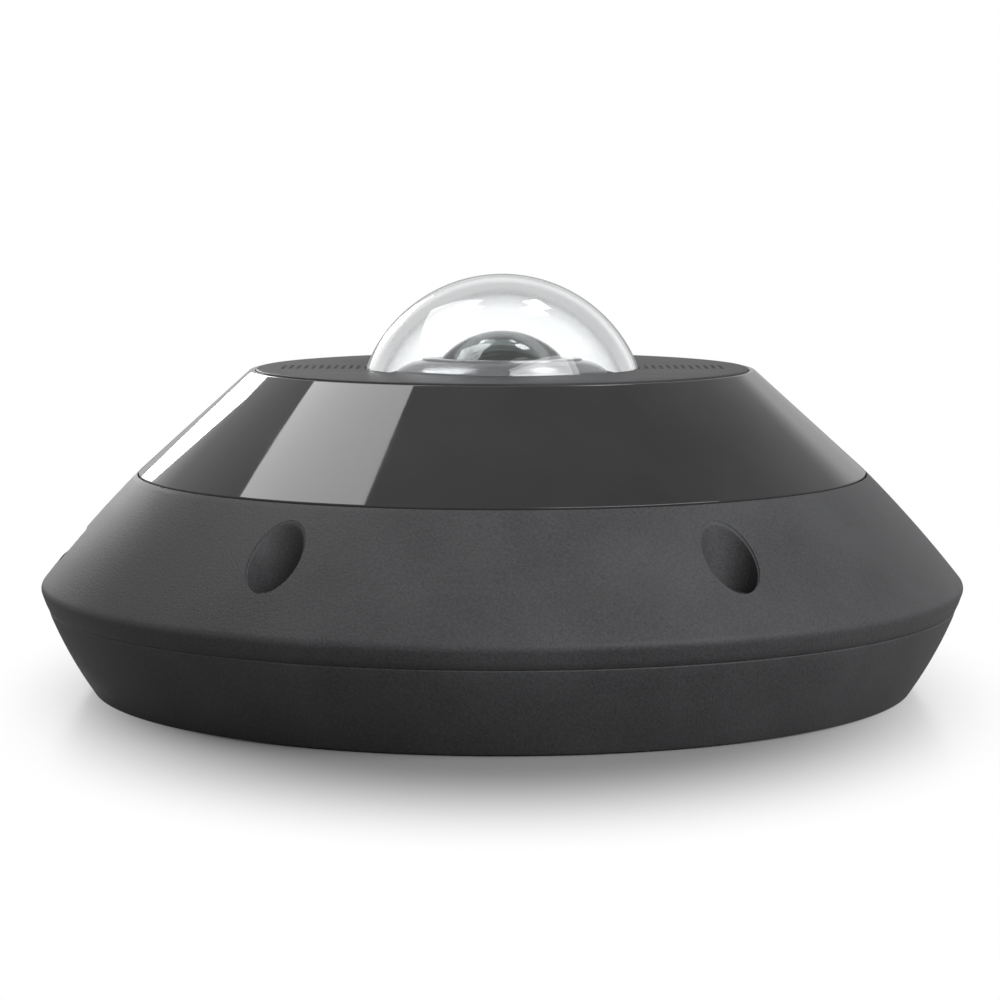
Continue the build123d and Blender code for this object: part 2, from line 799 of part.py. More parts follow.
# Terminal block for power and alarm wires
with BuildPart() as terminal_block:
    terminal_size = (terminal_pitch * terminal_ways, terminal_depth)
    terminal_centre = (terminal_centre_x, jack_front - terminal_depth / 2)
    terminal_top = board_top + terminal_height
    wire_low = board_top + terminal_hole_sill
    wire_high = wire_low + terminal_hole_height
    first_way_x = terminal_centre_x - terminal_pitch * (terminal_ways - 1) / 2
    way_places = [first_way_x + terminal_pitch * way for way in range(terminal_ways)]
    block(terminal_size, terminal_centre, board_top, terminal_top)
    for way_x in way_places:
        hole_centre = (way_x, jack_front - terminal_hole_size[1] / 2)
        pocket(terminal_hole_size, hole_centre, wire_low, wire_high)
    screw_wells = [(way_x, terminal_centre[1]) for way_x in way_places]
    holes(screw_wells, terminal_screw_radius, terminal_top - terminal_screw_depth, terminal_top)
finish(terminal_block.part, "terminal_block")

# Socket of the memory card, open towards +X
card_bottom = board_top + socket_wall + card_clearance
card_top = card_bottom + card_thickness
card_end_x = socket_face_x + card_rest_overhang
with BuildPart() as card_socket:
    hold_length = card_length - card_rest_overhang + card_clearance
    socket_size = (hold_length + socket_wall, card_width + 2 * (card_clearance + socket_wall))
    hold_size = (hold_length, card_width + 2 * card_clearance)
    socket_top = card_top + card_clearance + socket_wall
    hold_low = card_bottom - card_clearance
    hold_high = card_top + card_clearance
    block(socket_size, (socket_face_x - socket_size[0] / 2, card_centre_y), board_top, socket_top)
    pocket(hold_size, (socket_face_x - hold_length / 2, card_centre_y), hold_low, hold_high)
finish(card_socket.part, "card_socket")

with BuildPart() as memory_card:
    card_centre = (card_end_x - card_length / 2, card_centre_y)
    grip_size = (card_rest_overhang / 2, card_grip_width)
    grip_centre = (card_end_x - card_rest_overhang / 2, card_centre_y)
    block((card_length, card_width), card_centre, card_bottom, card_top, corner=card_corner)
    pocket(grip_size, grip_centre, card_top - card_grip_depth, card_top)
finish(memory_card.part, "memory_card")

# Reset switch with a plunger that is pressed from above
switch_top = board_top + switch_height
plunger_bottom = switch_top - plunger_depth
with BuildPart() as reset_switch:
    bore_floor = plunger_bottom - plunger_travel - plunger_stop_gap
    block((switch_size, switch_size), switch_place, board_top, switch_top)
    holes([switch_place], plunger_radius + thread_clearance, bore_floor, switch_top)
finish(reset_switch.part, "reset_switch")

with BuildPart() as reset_button:
    posts([switch_place], plunger_radius, plunger_bottom, switch_top + plunger_rise)
    fillet(reset_button.edges().filter_by(GeomType.CIRCLE).group_by(Axis.Z)[-1], plunger_fillet)
finish(reset_button.part, "reset_button")

# Frame on four legs, with towers for the speaker and the microphone
sensor_thread_top = sensor_board_top + sensor_screw_bite + blind_hole_spare
with BuildPart() as core_frame:
    ring(frame_bore_radius, frame_radius, frame_deck_bottom, frame_deck_top)
    posts(leg_spots, frame_leg_radius, frame_leg_bottom, frame_deck_top)
    posts(sensor_spots, sensor_boss_radius, sensor_board_top, frame_deck_bottom)
    block(speaker_size, (-speaker_centre_x, 0), frame_deck_top, speaker_bottom)
    posts([(speaker_centre_x, 0)], microphone_radius + boot_wall, frame_deck_top, boot_bottom)
    chamber_size = (speaker_size[0] - 2 * tower_wall, speaker_size[1] - 2 * tower_wall)
    pocket(chamber_size, (-speaker_centre_x, 0), frame_deck_top, speaker_bottom)
    counterbore_radius = frame_screw_head_radius + frame_counterbore_margin
    sensor_thread = sensor_screw_radius + thread_clearance
    holes(leg_spots, counterbore_radius, frame_screw_seat, frame_deck_top)
    holes(leg_spots, frame_screw_radius + hole_clearance, frame_leg_bottom, frame_screw_seat)
    holes(mount_spots, driver_notch_radius, frame_deck_bottom, frame_deck_top)
    holes(sensor_spots, sensor_thread, sensor_board_top, sensor_thread_top)
    holes(led_screw_spots, sensor_thread, frame_deck_top - led_screw_bite, frame_deck_top)
finish(core_frame.part, "core_frame")

with BuildPart() as frame_screws:
    frame_shank = frame_leg_floor + frame_screw_bite
    frame_head = (frame_screw_head_radius, frame_screw_head_height)
    frame_key = frame_screw_key_radius
    screws(leg_spots, frame_screw_seat, 1, *frame_head, frame_screw_radius, frame_shank, frame_key)
finish(frame_screws.part, "frame_screws")

# Sensor board hung under the frame's deck
with BuildPart() as sensor_board:
    block(sensor_board_size, (0, sensor_board_centre_y), sensor_board_bottom, sensor_board_top)
    sensor_hole_radius = sensor_screw_radius + hole_clearance
    holes(sensor_spots, sensor_hole_radius, sensor_board_bottom, sensor_board_top)
finish(sensor_board.part, "sensor_board")

sensor_head = (sensor_screw_head_radius, sensor_screw_head_height)
with BuildPart() as sensor_screws:
    shank = sensor_board_thickness + sensor_screw_bite
    screws(sensor_spots, sensor_board_bottom, -1, *sensor_head, sensor_screw_radius, shank, small_key_radius)
finish(sensor_screws.part, "sensor_screws")

with BuildPart() as image_sensor:
    sensor_square = (image_sensor_size, image_sensor_size)
    block(sensor_square, (0, 0), sensor_board_top, sensor_board_top + image_sensor_thickness)
finish(image_sensor.part, "image_sensor")

# Sockets and flat cable that join the two boards
socket_front_y = cable_socket_y - cable_socket_size[1] / 2
with BuildPart() as cable_sockets:
    socket_spot = (0, cable_socket_y)
    block(cable_socket_size, socket_spot, sensor_board_bottom - cable_socket_height, sensor_board_bottom)
    block(cable_socket_size, socket_spot, board_top, board_top + cable_socket_height)
finish(cable_sockets.part, "cable_sockets")

with BuildPart() as flat_cable:
    cable_low = board_top + cable_socket_height / 2
    cable_high = sensor_board_bottom - cable_socket_height / 2
    cable_back_y = socket_front_y - flat_cable_reach
    with BuildSketch(Plane.YZ):
        with BuildLine():
            cable_path = [(socket_front_y, cable_high), (cable_back_y, cable_high)]
            cable_path += [(cable_back_y, cable_low), (socket_front_y, cable_low)]
            FilletPolyline(*cable_path, radius=flat_cable_bend)
        trace(line_width=flat_cable_thickness)
    extrude(amount=flat_cable_width / 2, both=True)
finish(flat_cable.part, "flat_cable")

# Filter changer: a frame with two glasses slides in the lens mount and a swinging arm drives it
glass_pocket = filter_glass_size + 2 * press_clearance
filter_half_width = glass_pocket / 2 + filter_bar
filter_centre_x = filter_travel / 2
glass_places = [(0, 0), (filter_travel, 0)]
arm_length = filter_travel / 2 / sin(radians(rotor_swing / 2))
pin_rest = (filter_travel / 2, rotor_axis_y - arm_length * cos(radians(rotor_swing / 2)))
pin_slot_low = rotor_axis_y - arm_length - rotor_pin_radius - rotor_pin_clearance
pin_slot_high = pin_rest[1] + rotor_pin_radius + rotor_pin_clearance
pin_slot_width = 2 * (rotor_pin_radius + rotor_pin_clearance)
tab_width = pin_slot_width + 2 * filter_bar
tab_end_y = pin_slot_high + filter_bar
with BuildPart() as filter_frame:
    frame_size = (filter_travel + 2 * filter_half_width, 2 * filter_half_width)
    tab_centre = (filter_centre_x, tab_end_y / 2)
    slot_centre = (filter_centre_x, (pin_slot_low + pin_slot_high) / 2)
    glass_floor = filter_top - filter_glass_thickness
    block(frame_size, (filter_centre_x, 0), filter_bottom, filter_top)
    block((tab_width, tab_end_y), tab_centre, filter_bottom, filter_top)
    pocket((pin_slot_width, pin_slot_high - pin_slot_low), slot_centre, filter_bottom, filter_top)
    for glass_place in glass_places:
        pocket((filter_window, filter_window), glass_place, filter_bottom, filter_top)
        pocket((glass_pocket, glass_pocket), glass_place, glass_floor, filter_top)
finish(filter_frame.part, "filter_frame")

with BuildPart() as infrared_filter:
    block((filter_glass_size, filter_glass_size), glass_places[0], glass_floor, filter_top)
finish(infrared_filter.part, "infrared_filter")

with BuildPart() as clear_filter:
    block((filter_glass_size, filter_glass_size), glass_places[1], glass_floor, filter_top)
finish(clear_filter.part, "clear_filter")

with BuildPart() as filter_rotor:
    arm_lean = degrees(atan2(pin_rest[1] - rotor_axis_y, pin_rest[0]))
    arm_middle = (pin_rest[0] / 2, (rotor_axis_y + pin_rest[1]) / 2)
    posts([(0, rotor_axis_y)], rotor_magnet_radius, sensor_board_top + rotor_floor_gap, rotor_arm_bottom)
    with BuildSketch(Plane.XY.offset(rotor_arm_bottom)):
        with Locations(arm_middle):
            SlotCenterToCenter(arm_length, 2 * rotor_arm_half_width, rotation=arm_lean)
        with Locations((0, rotor_axis_y)):
            Circle(rotor_magnet_radius)
    extrude(amount=rotor_arm_thickness)
    posts([pin_rest], rotor_pin_radius, filter_bottom, rotor_arm_bottom)
finish(filter_rotor.part, "filter_rotor")

with BuildPart() as filter_motor:
    motor_top = rotor_arm_bottom - rotor_arm_lift
    bore_radius = rotor_magnet_radius + rotor_bore_clearance
    block(motor_size, (0, rotor_axis_y), sensor_board_top, motor_top)
    bore_low = sensor_board_top + rotor_floor_gap / 2
    holes([(0, rotor_axis_y)], bore_radius, bore_low, motor_top)
finish(filter_motor.part, "filter_motor")

# Lens mount: a box for the filter frame with a threaded neck on top
with BuildPart() as lens_mount:
    hold_half_x = filter_travel + filter_half_width + filter_end_clearance
    hold_half_y = filter_half_width + filter_clearance
    outer_half_x = hold_half_x + lens_mount_wall
    outer_half_y = hold_half_y + lens_mount_wall
    neck_bore = lens_thread_radius + lens_clearance
    neck_radius = neck_bore + lens_mount_neck_wall
    sensor_hole = image_sensor_size + 2 * image_sensor_margin
    gate_half_x = filter_travel / 2 + tab_width / 2 + filter_end_clearance
    block((2 * outer_half_x, 2 * outer_half_y), (0, 0), sensor_board_top, mount_roof_top)
    posts([(0, 0)], neck_radius, mount_roof_top, neck_top)
    pocket((2 * hold_half_x, 2 * hold_half_y), (0, 0), filter_shelf, mount_roof_bottom)
    pocket((sensor_hole, sensor_hole), (0, 0), sensor_board_top, filter_shelf)
    gate_size = (2 * gate_half_x, lens_mount_wall)
    gate_centre = (0, hold_half_y + lens_mount_wall / 2)
    pocket(gate_size, gate_centre, filter_shelf, mount_roof_top)
    holes([(0, 0)], neck_bore, mount_roof_bottom, neck_top)
finish(lens_mount.part, "lens_mount")

# Lens barrel, its lock ring and the glasses inside
with BuildPart() as lens_barrel:
    seat_radius = lens_rim_radius + lens_clearance
    turned([
        (barrel_thread_bore, barrel_bottom),
        (lens_thread_radius, barrel_bottom),
        (lens_thread_radius, barrel_shoulder),
        (barrel_radius, barrel_shoulder),
        (barrel_radius, barrel_top),
        (seat_radius, barrel_top),
        (seat_radius, lens_rim_bottom),
        (barrel_bore, lens_rim_bottom),
        (barrel_bore, bore_step),
        (barrel_thread_bore, bore_step),
    ])
finish(lens_barrel.part, "lens_barrel")

with BuildPart() as lens_lock_ring:
    ring(lens_thread_radius + lens_clearance, lock_ring_radius, lock_ring_bottom, lock_ring_top)
finish(lens_lock_ring.part, "lens_lock_ring")

with BuildPart() as rear_lens:
    rear_low = barrel_bottom + rear_lens_lift
    rear_high = rear_low + rear_lens_thickness
    rear_radius = barrel_thread_bore - lens_clearance
    glass(rear_radius, rear_low, rear_low + rear_lens_bulge, rear_high - rear_lens_bulge, rear_high)
finish(rear_lens.part, "rear_lens")

with BuildPart() as middle_lens:
    middle_low = bore_step + middle_lens_dish
    middle_high = bore_step + middle_lens_thickness
    middle_radius = barrel_bore - lens_clearance
    glass(middle_radius, middle_low, bore_step, middle_high, middle_high - middle_lens_dish)
finish(middle_lens.part, "middle_lens")

# Front glass: a deep cap over a rim that its retainer holds down
cap_sphere = (lens_cap_radius ** 2 + lens_cap_height ** 2) / (2 * lens_cap_height)
cap_rim_radius = sqrt(cap_sphere ** 2 - (barrel_top - lens_top + cap_sphere) ** 2)
hollow_top = lens_rim_bottom + lens_hollow_depth
with BuildPart() as front_lens:
    cap_rim = (cap_rim_radius, barrel_top)
    hollow_rim = (lens_hollow_radius, lens_rim_bottom)
    with BuildSketch(Plane.XZ):
        with BuildLine():
            Line(hollow_rim, (lens_rim_radius, lens_rim_bottom))
            Line((lens_rim_radius, lens_rim_bottom), (lens_rim_radius, barrel_top))
            Line((lens_rim_radius, barrel_top), cap_rim)
            ThreePointArc(cap_rim, cap_middle(lens_top, *cap_rim), (0, lens_top))
            Line((0, lens_top), (0, hollow_top))
            ThreePointArc((0, hollow_top), cap_middle(hollow_top, *hollow_rim), hollow_rim)
        make_face()
    revolve(axis=Axis.Z)
finish(front_lens.part, "front_lens")

# Thin ring that holds the front glass in the barrel
with BuildPart() as lens_retainer:
    skirt_bottom = barrel_top - retainer_skirt
    ring(cap_rim_radius + lens_clearance, retainer_radius, barrel_top, lens_cap_base)
    ring(barrel_radius + lens_clearance, retainer_radius, skirt_bottom, barrel_top)
    fillet(circle_edges(lens_retainer, retainer_radius, lens_cap_base), retainer_fillet)
finish(lens_retainer.part, "lens_retainer")

# Brushed cone round the lens, standing on the floor of the black well
with BuildPart() as lens_shroud:
    brow_top = lens_cap_base - shroud_seam
    brow_start = (shroud_radius, brow_top - shroud_brow_drop)
    brow_end = (retainer_radius + shroud_clearance, brow_top)
    shroud_step = skirt_bottom - shroud_clearance
    shroud_bore = barrel_radius + shroud_clearance
    foot_inner = (shroud_bore, baffle_floor)
    foot_outer = (shroud_radius, baffle_floor)
    with BuildSketch(Plane.XZ):
        with BuildLine():
            Polyline((shroud_bore, shroud_step), foot_inner, foot_outer, brow_start)
            ThreePointArc(brow_start, bulged_middle(brow_start, brow_end, shroud_brow_bulge), brow_end)
            Polyline(brow_end, (brow_end[0], shroud_step), (shroud_bore, shroud_step))
        make_face()
    revolve(axis=Axis.Z)
finish(lens_shroud.part, "lens_shroud")

# Black well between the brushed cone and the bubble
with BuildPart() as light_baffle:
    ring(baffle_radius - baffle_wall, baffle_radius, frame_deck_top, baffle_floor + baffle_rim_height)
    ring(barrel_radius + shroud_clearance, baffle_radius, baffle_floor - baffle_wall, baffle_floor)
finish(light_baffle.part, "light_baffle")

# Ring board with the infrared lamps and the light sensor, behind the glossy ring
with BuildPart() as led_board:
    tab_end = guide_spot[1] + led_tab_margin
    tab_start = -led_board_inner_radius - led_tab_root
    tab_size = (led_tab_width, tab_end - tab_start)
    ring(led_board_inner_radius, frame_radius, frame_deck_top, led_board_top)
    block(tab_size, (0, (tab_start + tab_end) / 2), frame_deck_top, led_board_top)
    holes(mount_spots, driver_notch_radius, frame_deck_top, led_board_top)
    holes(leg_spots, counterbore_radius, frame_deck_top, led_board_top)
    holes(led_screw_spots, sensor_hole_radius, frame_deck_top, led_board_top)
finish(led_board.part, "led_board")

with BuildPart() as led_board_screws:
    shank = led_board_thickness + led_screw_bite
    screws(led_screw_spots, led_board_top, 1, *sensor_head, sensor_screw_radius, shank, small_key_radius)
finish(led_board_screws.part, "led_board_screws")

with BuildPart() as infrared_leds:
    led_spots = polar_spots(led_circle_radius, led_angles)
    lamp_top = led_board_top + led_base_thickness
    for led_angle, led_spot in zip(led_angles, led_spots):
        with BuildSketch(Plane.XY.offset(led_board_top)):
            with Locations(Location(led_spot, led_angle)):
                Rectangle(led_base_size, led_base_size)
        extrude(amount=led_base_thickness)
        with Locations((led_spot[0], led_spot[1], lamp_top)):
            Sphere(led_lens_radius)
finish(infrared_leds.part, "infrared_leds")

light_sensor_top = led_board_top + light_sensor_thickness
with BuildPart() as light_sensor:
    block((light_sensor_size, light_sensor_size), guide_spot, led_board_top, light_sensor_top)
finish(light_sensor.part, "light_sensor")

# Speaker on its tower, sealed against the deck above it
speaker_top = speaker_bottom + speaker_thickness
speaker_spot = (-speaker_centre_x, 0)
with BuildPart() as speaker:
    block(speaker_size, speaker_spot, speaker_bottom, speaker_top)
    holes([speaker_spot], speaker_cone_radius, speaker_top - speaker_cone_depth, speaker_top)
finish(speaker.part, "speaker")

with BuildPart() as speaker_seal:
    seal_opening = [side - 2 * speaker_seal_width for side in speaker_size]
    speaker_seal_top = speaker_top + speaker_seal_thickness
    block(speaker_size, speaker_spot, speaker_top, speaker_seal_top)
    pocket(seal_opening, speaker_spot, speaker_top, speaker_seal_top)
finish(speaker_seal.part, "speaker_seal")

# Microphone in its rubber boot
microphone_spot = (speaker_centre_x, 0)
microphone_bottom = boot_bottom + boot_floor
microphone_top = microphone_bottom + microphone_height
with BuildPart() as microphone:
    posts([microphone_spot], microphone_radius, microphone_bottom, microphone_top)
finish(microphone.part, "microphone")

with BuildPart() as microphone_boot:
    boot_top = boot_bottom + boot_height
    boot_bore = microphone_radius + press_clearance
    posts([microphone_spot], microphone_radius + boot_wall, boot_bottom, boot_top)
    holes([microphone_spot], boot_bore, microphone_bottom, microphone_top)
    holes([microphone_spot], microphone_port_radius, microphone_top, boot_top)
finish(microphone_boot.part, "microphone_boot")

# Cover casting: matte cone and rim, a ledge for the glossy ring, a seal wall and four screw wells
brow_run = rim_radius - seam_radius
brow_rise = seam_height - rim_height
wall_run = casting_wall * sqrt(brow_run ** 2 + brow_rise ** 2) / brow_rise
tongue_bottom = parting_height - seal_groove_depth + seal_thickness + seal_clearance
with BuildPart() as cover_shell:
    casting(parting_height, seam_height)
    chamfer(widest_circle(cover_shell, parting_height), parting_chamfer)
    turned([
        (0, parting_height),
        (flank_radius(parting_height) - casting_wall, parting_height),
        (rim_radius - wall_run, rim_height),
        (brow_radius(ledge_bottom) - wall_run, ledge_bottom),
        (window_seat_radius, ledge_bottom),
        (window_seat_radius, ledge_top),
        (seam_radius + window_gap, ledge_top),
        (seam_radius + window_gap, seam_height),
        (0, seam_height),
    ], mode=Mode.SUBTRACT)
    posts(well_spots, well_radius + well_wall, parting_height, ledge_top)
    casting(parting_height, seam_height, mode=Mode.INTERSECT)
    tongue_top = ledge_bottom + ledge_thickness / 2
    ring(groove_inner + seal_clearance, groove_outer - seal_clearance, tongue_bottom, tongue_top)
    holes(well_spots, well_radius, well_floor, seam_height)
    holes(well_spots, cover_screw_radius + hole_clearance, parting_height, well_floor)
    holes(window_screw_spots, window_screw_radius + hole_clearance, ledge_bottom, ledge_top)
    fillet(cover_shell.edges().filter_by(is_well_mouth), well_mouth_fillet)
    add(flank_recess(), mode=Mode.SUBTRACT)
finish(cover_shell.part, "cover_shell")

# Glossy smoked ring with the deck under the faceplate
inner_end_radius = window_radius(deck_bottom + window_drop)
inner_foot_height = seam_height + (seam_radius - window_seat_radius) * slope_rise / slope_run - window_drop
mesh_start = dome_hole_radius + mesh_margin
mesh_end = grille_start + grille_pitch * (grille_columns - 1) + mesh_margin
mesh_size = (mesh_end - mesh_start, grille_pitch * (grille_rows + 1))
mesh_places = [(side * (mesh_start + mesh_end) / 2, 0) for side in (-1, 1)]
clamp_boss_bottom = flange_bottom + clamp_boss_gap
clamp_bottom = flange_bottom - clamp_thickness
with BuildPart() as infrared_window:
    turned([
        (window_seat_radius, window_seat_height),
        (seam_radius, window_seat_height),
        (seam_radius, seam_height),
        (shoulder_radius, shoulder_height),
        (face_radius + face_gap, shoulder_height),
        (face_radius + face_gap, deck_top),
        (dome_face_radius - dome_wall, deck_top),
        (dome_face_radius - dome_wall, deck_bottom),
        (inner_end_radius, deck_bottom),
        (window_seat_radius, inner_foot_height),
    ])
    fillet(circle_edges(infrared_window, shoulder_radius, shoulder_height), shoulder_fillet)
    posts(clamp_spots, clamp_boss_radius, clamp_boss_bottom, deck_bottom)
    bubble_ball(dome_radius + dome_gap, mode=Mode.SUBTRACT)
    clamp_hole_top = flange_bottom + clamp_boss_gap + clamp_screw_bite + blind_hole_spare
    clamp_thread = clamp_screw_radius + thread_clearance
    holes(clamp_spots, clamp_thread, clamp_boss_bottom, clamp_hole_top)
    window_hole_top = window_seat_height + window_screw_bite + blind_hole_spare
    window_thread = window_screw_radius + thread_clearance
    holes(window_screw_spots, window_thread, window_seat_height, window_hole_top)
    mesh_pocket = [side + 2 * press_clearance for side in mesh_size]
    for mesh_place in mesh_places:
        pocket(mesh_pocket, mesh_place, deck_top - mesh_thickness, deck_top)
    port_size = (speaker_size[0] - 2 * speaker_port_inset, speaker_port_depth)
    pocket(port_size, speaker_spot, deck_bottom, deck_top)
    holes([microphone_spot], microphone_port_radius, deck_bottom, deck_top)
    guide_slot = (guide_head_width + 2 * guide_clearance, guide_head_depth + 2 * guide_clearance)
    slot(*guide_slot, guide_spot, deck_bottom, deck_top, mode=Mode.SUBTRACT)
finish(infrared_window.part, "infrared_window")

with BuildPart() as window_gasket:
    ring(window_seat_radius, seam_radius, ledge_top, window_seat_height)
    holes(window_screw_spots, window_screw_radius + hole_clearance, ledge_top, window_seat_height)
finish(window_gasket.part, "window_gasket")

with BuildPart() as window_screws:
    shank = ledge_thickness + window_gasket_thickness + window_screw_bite
    window_head = (window_screw_head_radius, window_screw_head_height)
    screws(window_screw_spots, ledge_bottom, -1, *window_head, window_screw_radius, shank, small_key_radius)
finish(window_screws.part, "window_screws")

# Fine mesh patches under the faceplate's holes
with BuildPart() as grille_meshes:
    for mesh_place in mesh_places:
        block(mesh_size, mesh_place, deck_top - mesh_thickness, deck_top)
finish(grille_meshes.part, "grille_meshes")

# Matte faceplate with a field of small holes on each side of the bubble
with BuildPart() as faceplate:
    posts([(0, 0)], face_radius, deck_top, face_height)
    fillet(circle_edges(faceplate, face_radius, face_height), face_fillet)
    bubble_ball(dome_radius + dome_gap, mode=Mode.SUBTRACT)
    slot(*guide_slot, guide_spot, deck_top, face_height, mode=Mode.SUBTRACT)
    holes(grille_spots(), grille_hole_radius, deck_top, face_height)
finish(faceplate.part, "faceplate")

# Clear rod that leads daylight from the faceplate's front edge to the light sensor
with BuildPart() as light_guide:
    guide_head = (guide_head_width, guide_head_depth)
    guide_flange = [side + 2 * guide_flange_width for side in guide_head]
    slot(*guide_head, guide_spot, deck_bottom, face_height)
    slot(*guide_flange, guide_spot, deck_bottom - guide_flange_thickness, deck_bottom)
    posts([guide_spot], guide_rod_radius, light_sensor_top + guide_sensor_gap, deck_bottom)
finish(light_guide.part, "light_guide")

# Clear bubble with a flange under the deck
with BuildPart() as dome_bubble:
    bubble_ball(dome_radius)
    split(bisect_by=Plane.XY.offset(flange_bottom), keep=Keep.TOP)
    posts([(0, 0)], flange_radius, flange_bottom, flange_top)
    bubble_ball(dome_radius - dome_wall, mode=Mode.SUBTRACT)
finish(dome_bubble.part, "dome_bubble")

with BuildPart() as dome_gasket:
    ring(dome_neck_radius + dome_gap, flange_radius, flange_top, deck_bottom)
finish(dome_gasket.part, "dome_gasket")

# Clamp ring with four ears, screwed up into the deck's bosses
with BuildPart() as dome_clamp:
    posts([(0, 0)], flange_radius, clamp_bottom, flange_bottom)
    posts(clamp_spots, clamp_ear_radius, clamp_bottom, flange_bottom)
    holes([(0, 0)], clamp_bore_radius, clamp_bottom, flange_bottom)
    holes(clamp_spots, clamp_screw_radius + hole_clearance, clamp_bottom, flange_bottom)
finish(dome_clamp.part, "dome_clamp")

with BuildPart() as clamp_screws:
    clamp_shank = clamp_thickness + clamp_boss_gap + clamp_screw_bite
    clamp_head = (clamp_screw_head_radius, clamp_screw_head_height)
    screws(clamp_spots, clamp_bottom, -1, *clamp_head, clamp_screw_radius, clamp_shank, small_key_radius)
finish(clamp_screws.part, "clamp_screws")

# Captive cover screws and the seals under their heads
with BuildPart() as cover_screws:
    shank = screw_seal_thickness + well_floor_thickness + cover_screw_bite
    cover_head = (cover_screw_head_radius, cover_screw_head_height)
    screws(well_spots, cover_screw_seat, 1, *cover_head, cover_screw_radius, shank, cover_screw_key_radius)
finish(cover_screws.part, "cover_screws")

with BuildPart() as screw_seals:
    posts(well_spots, cover_screw_head_radius, well_floor, cover_screw_seat)
    holes(well_spots, cover_screw_radius + thread_clearance, well_floor, cover_screw_seat)
finish(screw_seals.part, "screw_seals")
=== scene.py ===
# %% [markdown]
# # A fisheye network camera, dressed for a studio picture
#
# The real camera is a low outdoor housing: two dark castings, a glossy smoked ring that hides infrared
# lamps, a matte faceplate and a clear bubble over one very wide lens. The engineering model already holds
# every piece at its real size. This lesson gives each piece its surface, and rebuilds the round ones as
# finely turned meshes, because a glossy cone shows every flat facet in its reflections.
#
# Everything is in metres and in the model's own frame: +Z goes up through the bubble, and -Y faces the
# camera.

# %% Load the frame
import json
from math import asin, atan2, cos, pi, radians, sin, sqrt, tan
from random import Random

import bmesh
import bpy
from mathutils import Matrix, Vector


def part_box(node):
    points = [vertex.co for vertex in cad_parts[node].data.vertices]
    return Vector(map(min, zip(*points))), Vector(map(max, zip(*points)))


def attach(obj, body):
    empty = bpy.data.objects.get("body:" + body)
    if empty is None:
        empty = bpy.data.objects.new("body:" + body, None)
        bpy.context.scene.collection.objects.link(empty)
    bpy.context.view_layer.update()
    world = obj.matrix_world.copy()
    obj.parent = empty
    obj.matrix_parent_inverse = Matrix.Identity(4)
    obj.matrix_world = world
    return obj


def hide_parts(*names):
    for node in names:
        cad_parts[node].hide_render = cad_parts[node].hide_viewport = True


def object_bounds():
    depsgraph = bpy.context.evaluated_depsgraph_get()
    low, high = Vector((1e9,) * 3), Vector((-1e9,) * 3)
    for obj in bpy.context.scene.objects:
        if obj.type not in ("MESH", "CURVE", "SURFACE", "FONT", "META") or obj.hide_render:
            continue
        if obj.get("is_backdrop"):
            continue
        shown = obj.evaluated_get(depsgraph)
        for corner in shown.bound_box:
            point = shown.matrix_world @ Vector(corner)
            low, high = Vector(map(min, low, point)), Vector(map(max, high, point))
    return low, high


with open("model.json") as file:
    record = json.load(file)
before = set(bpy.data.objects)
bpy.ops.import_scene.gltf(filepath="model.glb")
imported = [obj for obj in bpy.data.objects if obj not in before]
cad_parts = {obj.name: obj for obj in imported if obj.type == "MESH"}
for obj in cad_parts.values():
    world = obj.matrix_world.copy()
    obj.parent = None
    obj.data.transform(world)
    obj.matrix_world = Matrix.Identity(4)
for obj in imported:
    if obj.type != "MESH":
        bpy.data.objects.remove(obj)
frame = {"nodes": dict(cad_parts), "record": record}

cad_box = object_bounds()
print("nodes:", len(frame["nodes"]))

# %% [markdown]
# ## The camera
#
# The picture was taken from a little above the rim, with a long lens that hardly tapers the round shape.
# The distance, height and tilt were found by fitting the outline of the rim, the seam and the foot. A long
# lens from half a metre away is kept here instead of a short one from nearby, because it gives the same
# flat ellipses.

# %% Place the camera
camera_place = (-0.0004, -0.5392, 0.0905)
camera_tilt = 6.15
camera_lens = 108.8
camera_data = bpy.data.cameras.new("camera")
camera_data.lens = camera_lens
camera_data.sensor_width = 36.0
camera_data.clip_start = 0.01
camera = bpy.data.objects.new("camera", camera_data)
camera.location = camera_place
camera.rotation_euler = (radians(90 - camera_tilt), 0, 0)
bpy.context.scene.collection.objects.link(camera)
bpy.context.scene.camera = camera
print("camera", camera_place, "lens", camera_lens, "mm")

# %% [markdown]
# ## Shapes as points and faces
#
# Most pieces of this camera are turned on a lathe or moulded with straight walls. Blender could do that
# with a Screw modifier or by extruding curves, but a few lines of mesh code give exact rounded corners and
# a chosen number of facets. A form here is only a list of points in millimetres and a list of faces, so it
# can be copied, shifted and joined before it becomes an object.

# %% Round an outline's corners
MM = 0.001
ROUND = 288
SMALL_ROUND = 40


def rounded(corners, steps=5):
    """A closed outline of (x, y, radius) corners as points, each corner drawn as an arc."""
    points = []
    for i, (x, y, radius) in enumerate(corners):
        here = Vector((x, y))
        if not radius:
            points.append((x, y))
            continue
        before = (Vector(corners[i - 1][:2]) - here).normalized()
        after = (Vector(corners[(i + 1) % len(corners)][:2]) - here).normalized()
        half = before.angle(after) / 2
        centre = here + (before + after).normalized() * radius / sin(half)
        start = here + before * radius / tan(half) - centre
        end = here + after * radius / tan(half) - centre
        first = atan2(start.y, start.x)
        sweep = (atan2(end.y, end.x) - first + pi) % (2 * pi) - pi
        for k in range(steps + 1):
            angle = first + sweep * k / steps
            points.append((centre.x + radius * cos(angle), centre.y + radius * sin(angle)))
    return points


print("a rounded square has", len(rounded([(0, 0, 2), (9, 0, 2), (9, 9, 2), (0, 9, 2)])), "points")

# %% [markdown]
# The real castings swell a little between their edges, which keeps a wide painted face from looking hollow.
# One helper draws that swell, and two more draw the oblongs and circles that most small pieces start from.

# %% Swell a chord, and draw oblongs and circles


